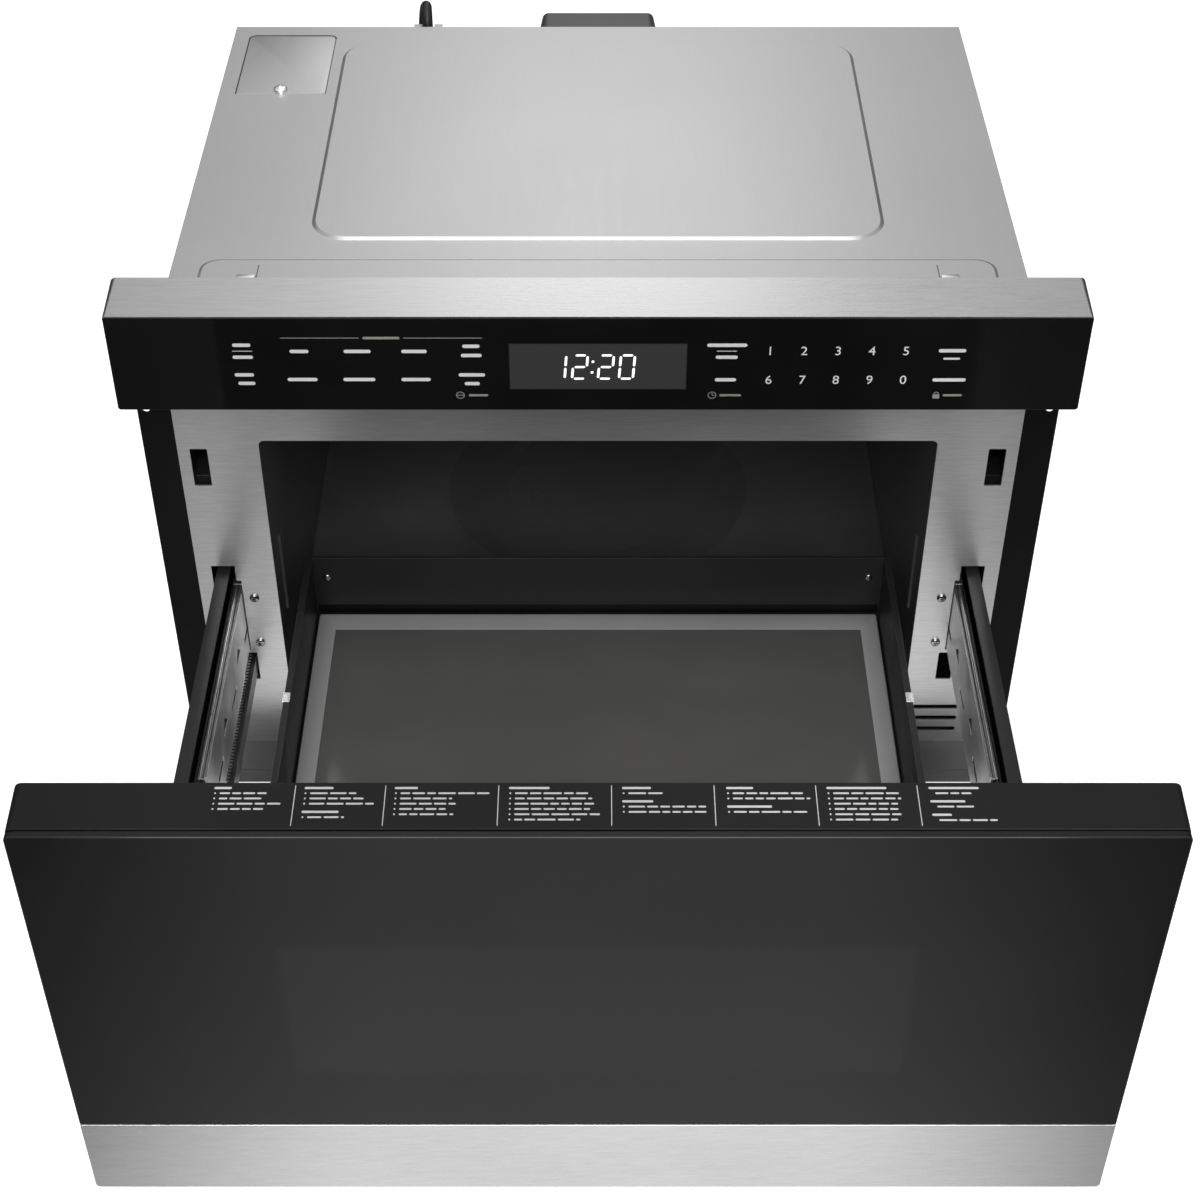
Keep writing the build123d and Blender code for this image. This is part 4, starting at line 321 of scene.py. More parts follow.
# Its near-white rim colour is painted light on the slides' side faces and edges.
SLIDE_STEEL = finish("drawn_slide_steel", grey(0.17), grey(0.21), (0.38, 0.46), 0.8, tooth_bump=0.01,
                     patches=9.0, wear_and_highlight=grey(0.98))
CAVITY_ENAMEL = finish("cavity_enamel", grey(0.076), grey(0.096), (0.16, 0.26), tooth=220.0,
                       tooth_bump=0.02, wear_and_highlight=grey(0.12))
FRAME_BLACK = finish("front_frame_black", grey(0.006), grey(0.010), (0.40, 0.5), specular=0.13, tooth=2600.0,
                     tooth_bump=0.05, wear_and_highlight=grey(0.03))
# Black of the mount flanges; also the painted shadow at the foot of the bin's rear wall.
FLANGE_BLACK_AND_FOOT_SHADOW = finish("flange_black_and_foot_shadow", grey(0.004), grey(0.007), (0.42, 0.52), specular=0.12, tooth=1400.0,
                      tooth_bump=0.1, wear_and_highlight=grey(0.02))
ARM_BLACK = finish("arm_black", grey(0.016), grey(0.022), (0.38, 0.48), specular=0.29, tooth=1400.0,
                   tooth_bump=0.1, wear_and_highlight=grey(0.10))
# Dark steel of the latch brackets; also the painted shadow round the access cover.
DARK_STEEL_AND_GAP_SHADOW = finish("dark_latch_steel_and_gap_shadow", grey(0.018), grey(0.026), (0.30, 0.4), 0.3, specular=0.3,
                    tooth=1400.0, tooth_bump=0.05, wear_and_highlight=grey(0.06))
SCREW_STEEL = finish("bright_screw_steel", grey(0.30), grey(0.42), (0.10, 0.16), 1.0, tooth_bump=0.02,
                     patches=90.0)
HATCH_SCREW_STEEL = finish("nickel_screw_steel", grey(0.92), grey(0.97), (0.30, 0.36), 0.9, tooth_bump=0.02,
                           patches=90.0)
PRINT = finish("white_print", grey(0.60), grey(0.70), (0.45, 0.55), tooth=4000.0, tooth_bump=0.03)
DIM_PRINT = finish("dim_print", grey(0.20, 0.10), grey(0.26, 0.10), (0.45, 0.55), tooth=4000.0,
                   tooth_bump=0.03)
GUIDE_PRINT = finish("guide_print", grey(0.44), grey(0.54), (0.45, 0.55), tooth=4000.0, tooth_bump=0.03)


def lit_finish():
    """White light of the clock, a little uneven along its segments."""
    material = finish("clock_light", grey(0.6), grey(0.7), (0.4, 0.5), tooth=2000.0)
    net = Net(material.node_tree)
    shader = material.node_tree.nodes["Principled BSDF"].inputs
    uneven = net.group(PATCHES, {"Scale": 160.0})["Mask"]
    net.feed(shader["Emission Color"], net.blend(uneven, grey(0.72, -0.01), grey(0.95, -0.01)))
    shader["Emission Strength"].default_value = 0.9
    return material


CLOCK_LIGHT = lit_finish()


# ---- Making pieces -----------------------------------------------------------------
slot_of = {part["node"]: part["material_slot"] for part in frame["record"]["subparts"]}
body_of = {node: body for body, nodes in frame["record"]["behaviour"]["bodies"].items() for node in nodes}


def make_piece(bm, name, body, slot, material=None, replaces=(), sharp=35.0, merge=True):
    """A finished piece from a bmesh in metres, on its body, with the nodes it stands for hidden."""
    if merge:
        bmesh.ops.remove_doubles(bm, verts=bm.verts, dist=1e-7)
        bmesh.ops.recalc_face_normals(bm, faces=bm.faces)
    mesh = bpy.data.meshes.new(name)
    bm.to_mesh(mesh)
    bm.free()
    mesh.shade_smooth()
    mesh.set_sharp_from_angle(angle=math.radians(sharp))
    mesh.materials.append(material or FINISHES[slot])
    piece = bpy.data.objects.new(name, mesh)
    scene.collection.objects.link(piece)
    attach(piece, body)
    if replaces:
        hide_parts(*replaces)
    return piece


def to_metres(bm, place=Matrix()):
    """Lays a bmesh made in mm at its place, in metres."""
    bm.transform(Matrix.Scale(MM, 4) @ place)


def round_edges(bm, edges, width, segments):
    """Rounds edges by width, in the bmesh's own unit; gives the new faces."""
    return bmesh.ops.bevel(bm, geom=edges, offset=width, offset_type="OFFSET", segments=segments, profile=0.5,
                           affect="EDGES", clamp_overlap=True, material=-1)["faces"]


def add_box(bm, low, high, rounding):
    """A box between two corners, its edges rounded."""
    made = bmesh.ops.create_cube(bm, size=1.0)["verts"]
    size = Vector(high) - Vector(low)
    bmesh.ops.scale(bm, vec=size, verts=made)
    bmesh.ops.translate(bm, vec=Vector(low) + size / 2, verts=made)
    round_edges(bm, list({e for v in made for e in v.link_edges}), rounding, 3)


def extrude(bm, faces, by):
    """Draws faces out to a solid along a vector."""
    drawn = bmesh.ops.extrude_face_region(bm, geom=faces)["geom"]
    bmesh.ops.translate(bm, verts=[g for g in drawn if isinstance(g, bmesh.types.BMVert)], vec=by)


def both_sides(bm):
    """Adds the mirror image across the middle plane."""
    copy = bmesh.ops.duplicate(bm, geom=bm.verts[:] + bm.edges[:] + bm.faces[:])["geom"]
    verts = [g for g in copy if isinstance(g, bmesh.types.BMVert)]
    bmesh.ops.scale(bm, vec=(-1, 1, 1), verts=verts)


def lathe(bm, outline, steps):
    """Turns an outline of (radius, height) round the Z axis."""
    made = [bm.verts.new((r, 0.0, z)) for r, z in outline]
    edges = [bm.edges.new(pair) for pair in zip(made, made[1:])]
    bmesh.ops.spin(bm, geom=made + edges, cent=(0, 0, 0), axis=(0, 0, 1), angle=FULL_TURN, steps=steps,
                   use_merge=True, use_duplicate=False)


def join(bm, part):
    """Adds a bmesh to another and frees it."""
    mesh = bpy.data.meshes.new("joined")
    part.to_mesh(mesh)
    part.free()
    bm.from_mesh(mesh)
    bpy.data.meshes.remove(mesh)


def flat_bar(bm, x, y, width, height, corner=0.45, points=3):
    """A flat bar round its middle, with its corners rounded by corner times its smaller side."""
    half_w, half_h = width / 2, height / 2
    corners = [(-half_w, -half_h), (half_w, -half_h), (half_w, half_h), (-half_w, half_h)]
    verts = [bm.verts.new((x + dx, y + dy, 0.0)) for dx, dy in corners]
    bm.faces.new(verts)
    bmesh.ops.bevel(bm, geom=verts, offset=corner * min(width, height), offset_type="OFFSET", segments=points,
                    profile=0.5, affect="VERTICES", clamp_overlap=False, material=-1)


def flat_ring(bm, x, y, outer, inner, start=0.0, sweep=FULL_TURN):
    """A flat ring, or an arc of one."""
    edge = [bm.verts.new((x + r * math.cos(start), y + r * math.sin(start), 0.0)) for r in (inner, outer)]
    line = bm.edges.new(edge)
    bmesh.ops.spin(bm, geom=edge + [line], cent=(x, y, 0), axis=(0, 0, 1), angle=sweep, steps=20,
                   use_merge=sweep == FULL_TURN, use_duplicate=False)


INK = 0.05


def printed(bm, name, body, slot, material, place):
    """Gives the flat marks the thickness of ink and lays them on their surface."""
    bmesh.ops.remove_doubles(bm, verts=bm.verts, dist=1e-4)
    bmesh.ops.recalc_face_normals(bm, faces=bm.faces)
    bmesh.ops.solidify(bm, geom=list(bm.faces), thickness=INK)
    low = min(v.co.z for v in bm.verts)
    bmesh.ops.translate(bm, verts=bm.verts, vec=(0, 0, -low))
    to_metres(bm, place)
    make_piece(bm, name, body, slot, material)


# ---- CAD pieces with softened edges ------------------------------------------------
NOSE_PAD_TOP = 376.7       # level of the shallow pressing along the front of the top cover
NOSE_PAD_Y = -38.2         # the point it narrows towards, so that its ends slope
NOSE_PAD_SHARE = (0.9966, 0.976, 1.0, 1.0)
BASE_NOSE_Y = -36.0        # the base's nose lies in front of this and stands further out
BASE_NOSE_OUT = 3.4
UPPER_HOLE_Z = 304.7       # the flanges' upper screw holes stand higher
UPPER_HOLE_REACH = 3.0
UPPER_HOLE_UP = 2.6
DOUBLES = 2e-6             # metres
FLAT = math.radians(0.5)   # neighbours closer than this to one plane are one face


def fit_to_photo(bm, node):
    """Small moves of a node's vertices, as measured in the photo."""
    if node == "top_cover":
        crest = [v for v in bm.verts if abs(v.co.z - NOSE_PAD_TOP * MM) < 1e-4]
        bmesh.ops.transform(bm, matrix=Matrix.Diagonal(NOSE_PAD_SHARE), verts=crest,
                            space=Matrix.Translation((0, NOSE_PAD_Y * MM, 0)))
    if node == "base_pan":
        nose = [v for v in bm.verts if v.co.y < BASE_NOSE_Y * MM]
        bmesh.ops.translate(bm, verts=nose, vec=(0, -BASE_NOSE_OUT * MM, 0))
    if node == "mount_flanges":
        hole = [v for v in bm.verts if abs(v.co.z - UPPER_HOLE_Z * MM) < UPPER_HOLE_REACH * MM]
        bmesh.ops.translate(bm, verts=hole, vec=(0, 0, UPPER_HOLE_UP * MM))


# Pieces whose side faces take the rim colour all over: painted light, their sides lighter than their tops.
PAINTED_LIT_SIDES = ("slide_mid_right", "slide_mid_left", "slide_drawer_members", "drive_rack")


def softened(node, width, material=None, crease=38.0):
    """The node's sheet or moulding with its sharp edges rounded by width."""
    bm = bmesh.new()
    bm.from_mesh(frame["nodes"][node].data)
    bmesh.ops.remove_doubles(bm, verts=bm.verts, dist=DOUBLES)
    bmesh.ops.dissolve_limit(bm, angle_limit=FLAT, verts=bm.verts, edges=bm.edges)
    fit_to_photo(bm, node)
    wear_and_light_rim = bm.faces.layers.float.new("edge")
    limit = math.radians(crease)
    sharp = [e for e in bm.edges if len(e.link_faces) == 2 and e.calc_face_angle() > limit]
    for face in round_edges(bm, sharp, width * MM, 2):
        face[wear_and_light_rim] = 1.0
    # Painted light: every side face of these pieces takes the light rim colour.
    if node in PAINTED_LIT_SIDES:
        bm.normal_update()
        for face in bm.faces:
            if abs(face.normal.z) < 0.5:
                face[wear_and_light_rim] = 1.0
    piece = make_piece(bm, node + "_finished", body_of[node], slot_of[node], material, (node,), crease + 2.0,
                       False)
    even = piece.modifiers.new("even_faces", "WEIGHTED_NORMAL")
    even.keep_sharp = True


SOFTENED = {
    "face_plate": 0.3, "mount_flanges": 0.3, "base_pan": 0.3,
    "side_panels": 0.25, "back_panel": 0.25, "rear_waveguide": 0.3, "cord_clip": 0.2,
    "control_trim": 0.25, "control_glass": 0.2, "control_housing": 0.35,
    "drawer_frame": 0.35, "drawer_trim": 0.25, "inner_panel": 0.3, "choke_cover": 0.4,
    "slide_drawer_members": 0.25, "slide_mid_right": 0.25, "slide_mid_left": 0.25,
    "slide_cabinet_members": 0.25, "slide_brackets": 0.25, "drive_rack": 0.12, "latch_hooks": 0.3,
    "latch_brackets": 0.25, "cavity_liner": 0.3, "antenna_cover": 0.3, "antenna_well": 0.3,
    "bin_sides": 0.3, "bin_rear_wall": 0.3, "bin_clips": 0.2,
    "drive_gearbox": 0.4, "drive_pinion": 0.12, "magnetron": 0.3, "transformer_core": 0.3,
    "transformer_windings": 1.2, "hv_capacitor": 0.3, "fan_shroud": 0.3, "fan_rotor": 0.25,
    "stirrer_antenna": 0.25, "component_tray": 0.3, "plug_blades": 0.3, "drawer_glass": 0.2,
}
OWN_FINISH = {
    "face_plate": PLATE_STEEL, "rear_waveguide": DARK_DUCT_STEEL, "base_pan": SHADED_BASE_STEEL,
    "drive_rack": RACK_STEEL, "drawer_frame": FRAME_BLACK, "cavity_liner": CAVITY_ENAMEL,
    "mount_flanges": FLANGE_BLACK_AND_FOOT_SHADOW, "control_trim": CAP_STEEL, "latch_brackets": DARK_STEEL_AND_GAP_SHADOW,
    "slide_mid_right": SLIDE_STEEL, "slide_mid_left": SLIDE_STEEL, "slide_drawer_members": SLIDE_STEEL,
    "slide_cabinet_members": SLIDE_STEEL, "drawer_glass": DOOR_GLASS,
}
for node, width in SOFTENED.items():
    softened(node, width, OWN_FINISH.get(node))
softened("top_cover", 0.2, crease=14.0)

# Nodes that a piece of this script stands for; the others keep the CAD mesh and take a finish.
REPLACED = set(SOFTENED) | {
    "top_cover", "access_cover", "support_arms", "tray_frame", "glass_tray", "casing_screws", "bin_screws",
    "cord_run", "cord_coil", "plug_body", "strain_relief",
}
for node, slot in slot_of.items():
    if node not in REPLACED:
        for place in frame["nodes"][node].material_slots:
            place.link = "OBJECT"
            place.material = FINISHES[slot]


# ---- Screws ------------------------------------------------------------------------
# A screw head's outline as shares of its radius and height: flange, dome, then the recess.
HEAD_OUTLINE = [(1.0, 0.0), (1.0, 0.30), (0.94, 0.62), (0.76, 0.86), (0.50, 0.97), (0.34, 1.0), (0.26, 0.35),
                (0.0, 0.15)]
RECESS = (0.2, 0.4)        # its vertices lie between these shares of the radius
HEAD_TURN = 0.7            # radians from one head to the next


def pan_head(bm, radius, height):
    """A domed screw head with a cross recess, standing on the origin."""
    lathe(bm, [(r * radius, z * height) for r, z in HEAD_OUTLINE], 24)
    for vert in bm.verts:
        if RECESS[0] * radius < math.hypot(vert.co.x, vert.co.y) < RECESS[1] * radius:
            lobe = 0.62 + 0.85 * abs(math.cos(2 * math.atan2(vert.co.y, vert.co.x))) ** 3
            vert.co.x *= lobe
            vert.co.y *= lobe
    bmesh.ops.remove_doubles(bm, verts=bm.verts, dist=1e-5)


def screw_heads(name, body, places, radius, height, replaces=(), material=SCREW_STEEL):
    """Screw heads as one piece: places are (seat, direction)."""
    bm = bmesh.new()
    for number, (seat, direction) in enumerate(places):
        one = bmesh.new()
        pan_head(one, radius, height)
        turn = Matrix.Rotation(HEAD_TURN * number, 4, "Z")
        aim = Vector(direction).to_track_quat("Z", "Y").to_matrix().to_4x4()
        to_metres(one, Matrix.Translation(seat) @ aim @ turn)
        join(bm, one)
    make_piece(bm, name, body, "plated_steel", material, replaces, 50.0)


SLIDE_SCREW_X = 241.3
BIN_SCREW_X = 194.2
BIN_SCREW_Z = 132.7
BIN_WALL_Y = 389.1 - TRAVEL
HATCH_SCREW = (-233.7, 300.3, 376.1)
DUCT_REAR = 402.6          # flange of the duct on the back panel
slide_screws = [((side * SLIDE_SCREW_X, FACE_Y, z), (0, -1, 0)) for side in (-1, 1) for z in (101.5, 143.5)]
side_screws = [((side * CASING_SIDE, y, 368.0), (side, 0, 0)) for side in (-1, 1) for y in (206.0, 373.0)]
rear_screws = [((x, CASING_REAR, z), (0, 1, 0)) for x in (-262.0, 262.0) for z in (14.0, 188.0, 366.0)]
rear_screws += [((x, DUCT_REAR, z), (0, 1, 0)) for x in (-51.2, 51.2) for z in (60.0, 190.0, 320.0)]
bin_screws = [((side * BIN_SCREW_X, BIN_WALL_Y, BIN_SCREW_Z), (0, -1, 0)) for side in (-1, 1)]
screw_heads("casing_screw_heads", "chassis", slide_screws, 3.4, 2.0, ("casing_screws",))
screw_heads("hatch_screw_head", "chassis", [(HATCH_SCREW, (0, 0, 1))], 5.2, 2.8, material=HATCH_SCREW_STEEL)
screw_heads("side_screw_heads", "chassis", side_screws, 2.8, 1.4)
screw_heads("rear_screw_heads", "chassis", rear_screws, 2.8, 1.4)
screw_heads("bin_screw_heads", "drawer", bin_screws, 2.8, 1.6, ("bin_screws",))


# ---- Sheet parts, arms and tray ----------------------------------------------------
HATCH_X = (-266.3, -200.3)
HATCH_Y = (294.8, 386.6)
HATCH_CORNER = 5.0
HATCH_LEVEL = CASING_TOP + 0.03
HATCH_RAISE = 0.12         # the cover inside its edge above the edge
HATCH_EDGE = 0.5
GAP_LEVEL = CASING_TOP + 0.14
GAP_REAR = 1.3
GAP_LEFT = 0.9
GAP_RIGHT = 0.55
GAP_CORNER = 0.3


def hatch_cover():
    """Access cover, a hair above the casing, its middle raised a little inside its edge."""
    bm = bmesh.new()
    width, depth = HATCH_X[1] - HATCH_X[0], HATCH_Y[1] - HATCH_Y[0]
    flat_bar(bm, sum(HATCH_X) / 2, sum(HATCH_Y) / 2, width, depth, HATCH_CORNER / width, 6)
    bmesh.ops.translate(bm, verts=bm.verts, vec=(0, 0, HATCH_LEVEL))
    middle = list(bm.faces)
    bmesh.ops.inset_region(bm, faces=middle, thickness=HATCH_EDGE, use_even_offset=True, use_boundary=True)
    bmesh.ops.translate(bm, verts=list({v for f in middle for v in f.verts}), vec=(0, 0, HATCH_RAISE))
    to_metres(bm)
    make_piece(bm, "hatch_cover", "chassis", "galvanised", replaces=("access_cover",), sharp=20.0)


def hatch_gap_shadow():
    """Painted shadow of the gap along the rear and the sides of the access cover: a dark strip laid over its
    edge.
    """
    bm = bmesh.new()
    (x0, x1), (y0, y1), r = HATCH_X, HATCH_Y, HATCH_CORNER
    outer, inner = r + GAP_REAR / 2, r - GAP_REAR / 2
    flat_bar(bm, x0, (y0 + y1 - r) / 2, GAP_LEFT, y1 - r - y0, GAP_CORNER)
    flat_bar(bm, x1, (y0 + y1 - r) / 2, GAP_RIGHT, y1 - r - y0, GAP_CORNER)
    flat_bar(bm, (x0 + x1) / 2, y1, x1 - x0 - 2 * r, GAP_REAR, GAP_CORNER)
    flat_ring(bm, x0 + r, y1 - r, outer, inner, math.pi / 2, math.pi / 2)
    flat_ring(bm, x1 - r, y1 - r, outer, inner, 0.0, math.pi / 2)
    place = Matrix.Translation((0, 0, GAP_LEVEL))
    printed(bm, "hatch_gap_shadow", "chassis", "galvanised", DARK_STEEL_AND_GAP_SHADOW, place)


FOOT_HALF = 203.0
FOOT_Y = (BIN_WALL_Y - 0.4, BIN_WALL_Y + 0.2)
FOOT_Z = (-1.0, 6.4)       # from the top of the tray frame


def wall_foot_shadow():
    """Painted shadow: a black strip along the foot of the bin's rear wall, behind the tray frame, where the
    gap lies in shade.
    """
    bm = bmesh.new()
    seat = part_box("tray_frame")[1][2] / MM
    add_box(bm, (-FOOT_HALF, FOOT_Y[0], seat + FOOT_Z[0]), (FOOT_HALF, FOOT_Y[1], seat + FOOT_Z[1]), 0.15)
    to_metres(bm)
    make_piece(bm, "wall_foot_shadow", "drawer", "black_steel", FLANGE_BLACK_AND_FOOT_SHADOW, sharp=40.0)


ARM_IN = 256.0             # sides, foot and top of the channel
ARM_OUT = 265.3
ARM_LOW = 100.0
ARM_HIGH = 167.0
ARM_WALL = 1.6
ARM_OPEN = 148.5           # the inner wall ends here and leaves the slide in view
ARM_Y = (-4.2 - TRAVEL, 385.0 - TRAVEL)
LUG_Z = (106.7, 160.3)     # foot that screws to the drawer front
LUG_OUT = 14.0


def support_arms():
    """Black channels that carry the drawer: a low wall against the slide, open above it."""
    bm = bmesh.new()
    wall = ARM_WALL
    points = [(ARM_IN, ARM_LOW), (ARM_OUT, ARM_LOW), (ARM_OUT, ARM_HIGH), (ARM_IN, ARM_HIGH),
              (ARM_IN, ARM_HIGH - wall), (ARM_OUT - wall, ARM_HIGH - wall), (ARM_OUT - wall, ARM_LOW + wall),
              (ARM_IN + wall, ARM_LOW + wall), (ARM_IN + wall, ARM_OPEN), (ARM_IN, ARM_OPEN)]
    section = bm.faces.new([bm.verts.new((x, ARM_Y[0], z)) for x, z in points])
    extrude(bm, [section], (0, ARM_Y[1] - ARM_Y[0], 0))
    round_edges(bm, [e for e in bm.edges if abs(e.verts[0].co.y - e.verts[1].co.y) > 1], 0.5, 2)
    lug = (ARM_OUT + LUG_OUT, ARM_Y[0] + wall, LUG_Z[1])
    add_box(bm, (ARM_OUT - wall, ARM_Y[0], LUG_Z[0]), lug, 0.4)
    both_sides(bm)
    to_metres(bm)
    make_piece(bm, "support_arm_channels", "drawer", "black_steel", ARM_BLACK, ("support_arms",), 40.0)


FRAME_SIDE = 13.0          # widths of the tray frame at its sides and at its ends
FRAME_END = 15.9
TRAY_GAP = 0.1
TRAY_THICK = 2.4


def tray_frame():
    """Grey frame round the glass tray, mitred, with square inner corners."""
    bm = bmesh.new()
    low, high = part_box("tray_frame")
    x1, y0, y1, z0, z1 = (v / MM for v in (high[0], low[1], high[1], low[2], high[2]))
    in_x, in_y0, in_y1 = x1 - FRAME_SIDE, y0 + FRAME_END, y1 - FRAME_END
    outline = [(-x1, y0), (x1, y0), (x1, y1), (-x1, y1)]
    opening = [(-in_x, in_y0), (in_x, in_y0), (in_x, in_y1), (-in_x, in_y1)]
    outside = [bm.verts.new((x, y, z0)) for x, y in outline]
    inside = [bm.verts.new((x, y, z0)) for x, y in opening]
    for n in range(4):
        after = (n + 1) % 4
        bm.faces.new((outside[n], outside[after], inside[after], inside[n]))
    extrude(bm, bm.faces[:], (0, 0, z1 - z0))
    upright = [e for e in bm.edges if abs(e.verts[0].co.z - e.verts[1].co.z) > 1]
    round_edges(bm, [e for e in upright if abs(e.verts[0].co.x) > x1 - 1], 2.0, 5)
    rims = [e for e in bm.edges if all(v.co.z > z1 - 0.01 for v in e.verts) and e.calc_face_angle(0.0) > 1.0]
    round_edges(bm, rims, 0.7, 2)
    to_metres(bm)
    make_piece(bm, "tray_frame_finished", "drawer", "tray_frame", replaces=("tray_frame",), sharp=40.0)


def tray_glass():
    """Smoked glass tray, flush in its frame, with square corners."""
    bm = bmesh.new()
    low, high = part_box("tray_frame")
    side, end = FRAME_SIDE + TRAY_GAP, FRAME_END + TRAY_GAP
    x1, y0, y1 = high[0] / MM - side, low[1] / MM + end, high[1] / MM - end
    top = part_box("glass_tray")[1][2] / MM
    add_box(bm, (-x1, y0, top - TRAY_THICK), (x1, y1, top), 0.45)
    to_metres(bm)
    make_piece(bm, "glass_tray_finished", "drawer", "tray_glass", replaces=("glass_tray",), sharp=40.0)


TAB_X = 228.2
TAB_HALF = 5.9
TAB_Y = (46.2, 50.4)
TAB_Z = (376.2, 377.5)
FOLD_X = 221.4
FOLD_HALF = 0.35
FOLD_Y = (47.5, 62.5)
FOLD_Z = (376.5, 376.95)


def pair_of_boxes(name, middle, half, y, z, rounding, slot, material):
    """One box at each side of the top cover, as one piece."""
    bm = bmesh.new()
    for side in (-1, 1):
        add_box(bm, (side * middle - half, y[0], z[0]), (side * middle + half, y[1], z[1]), rounding)
    to_metres(bm)
    make_piece(bm, name, "chassis", slot, material)


hatch_cover()
hatch_gap_shadow()
wall_foot_shadow()
support_arms()
tray_frame()
tray_glass()
# Bright tabs in the two slots near the front of the top cover, and the folds beside them, with painted shade:
# the folds take the dark laminated steel finish.
pair_of_boxes("hold_down_tabs", TAB_X, TAB_HALF, TAB_Y, TAB_Z, 0.35, "plated_steel", FINISHES["aluminium"])
pair_of_boxes("tab_folds", FOLD_X, FOLD_HALF, FOLD_Y, FOLD_Z, 0.1, "galvanised", FINISHES["motor_steel"])


# ---- Printed marks -----------------------------------------------------------------
def number_mesh(text, size, x, y, bm):
    """A plain number centred on a point, added to the flat marks."""
    curve = bpy.data.curves.new("number", "FONT")
    curve.body = text
    curve.size = size
    curve.align_x = "CENTER"
    curve.align_y = "CENTER"
    curve.resolution_u = 4
    writing = bpy.data.objects.new("number", curve)
    mesh = bpy.data.meshes.new_from_object(writing)
    mesh.transform(Matrix.Translation((x, y, 0)))
    bm.from_mesh(mesh)
    bpy.data.objects.remove(writing)
    bpy.data.curves.remove(curve)
    bpy.data.meshes.remove(mesh)


ON_CONTROL = Matrix.Translation((0, FRONT_Y, 0)) @ Matrix.Rotation(math.pi / 2, 4, "X")
ON_DOOR_TOP = Matrix.Translation((0, DOOR_Y, DOOR_TOP)) @ Matrix.Rotation(DOOR_SLOPE, 4, "X")

# Key labels as plain bars: middle X, middle Z, width.
KEY_LABELS = [
    (-218.8, 386.0, 11.2), (-218.8, 377.1, 12.6), (-219.3, 363.8, 12.0), (-218.4, 357.4, 10.6),
    (-183.8, 381.4, 11.6), (-148.1, 381.4, 16.6), (-113.1, 381.4, 15.6), (-78.0, 385.2, 10.6),
    (-78.0, 378.4, 12.8), (-183.5, 360.3, 18.6), (-148.2, 360.3, 19.8), (-113.0, 360.3, 18.2),
    (-78.2, 363.8, 16.4), (-78.2, 357.2, 9.4), (79.3, 386.0, 24.6), (79.3, 377.1, 13.6), (79.2, 360.1, 13.2),
    (217.9, 381.9, 16.8), (218.1, 360.0, 20.6),
]
KEY_HEIGHT = 2.5
FINE_LINES = [(-218.8, 381.6, 12.4), (79.3, 381.6, 12.4)]
FINE_HEIGHT = 0.45
SMALL_LABEL = (218.0, 376.0, 10.4, 1.5)


def key_labels():
    """Plain bars for the keys and thin rules between paired keys."""
    bm = bmesh.new()
    for x, z, width in KEY_LABELS:
        flat_bar(bm, x, z, width, KEY_HEIGHT)
    for x, z, width in FINE_LINES:
        flat_bar(bm, x, z, width, FINE_HEIGHT)
    flat_bar(bm, *SMALL_LABEL)
    printed(bm, "key_labels", "chassis", "white_plastic", PRINT, ON_CONTROL)


NUMBER_SIZE = 9.0
FIRST_NUMBER = (105.9, 381.4)
NUMBER_PITCH = (20.9, 21.7)


def key_numbers():
    """The number keys, one to five over six to nought."""
    bm = bmesh.new()
    for number in range(10):
        x = FIRST_NUMBER[0] + NUMBER_PITCH[0] * (number % 5)
        z = FIRST_NUMBER[1] - NUMBER_PITCH[1] * (number // 5)
        number_mesh(str((number + 1) % 10), NUMBER_SIZE, x, z, bm)
    printed(bm, "key_numbers", "chassis", "white_plastic", PRINT, ON_CONTROL)


HEADER_Z = 391.3
SIGN_Z = 348.3
CROSSED_X = -86.0
CLOCK_X = 71.2
LOCK_X = 211.2


def hold_signs():
    """The header rule, and dim signs under three keys: crossed ring, clock and lock, each with a bar."""
    bm = bmesh.new()
    for x, width, height in ((-170.5, 48.0, 0.5), (-95.1, 48.2, 0.5), (-132.8, 22.6, 1.8)):
        flat_bar(bm, x, HEADER_Z, width, height)
    for x, width in ((-74.6, 12.0), (82.6, 13.6), (221.4, 12.0)):
        flat_bar(bm, x, SIGN_Z, width, 1.6)
    for x in (CROSSED_X, CLOCK_X):
        flat_ring(bm, x, SIGN_Z, 2.7, 2.2)
    flat_bar(bm, CLOCK_X, SIGN_Z + 0.9, 0.5, 1.9)
    flat_bar(bm, CLOCK_X + 0.8, SIGN_Z - 0.1, 1.6, 0.5)
    flat_bar(bm, CROSSED_X, SIGN_Z, 4.6, 0.5)
    flat_bar(bm, LOCK_X, SIGN_Z - 0.9, 4.2, 3.2, 0.15)
    flat_ring(bm, LOCK_X, SIGN_Z + 0.9, 1.7, 1.2, 0.0, math.pi)
    printed(bm, "hold_signs", "chassis", "white_plastic", DIM_PRINT, ON_CONTROL)


# Segments of each digit by the usual letters, and the middle of each digit.
SEGMENTS = {"1": "bc", "2": "abged", "0": "abcdef"}
CLOCK_DIGITS = (("1", -24.4), ("2", -11.2), ("2", 4.9), ("0", 17.9))
DIGIT_TALL = 19.0
DIGIT_WIDE = 8.6
DIGIT_THICK = 1.55
DIGIT_LEAN = 0.07
CLOCK_Z = 369.7
COLON_X = -3.4
COLON_DY = 4.0
COLON_DOT = 1.7


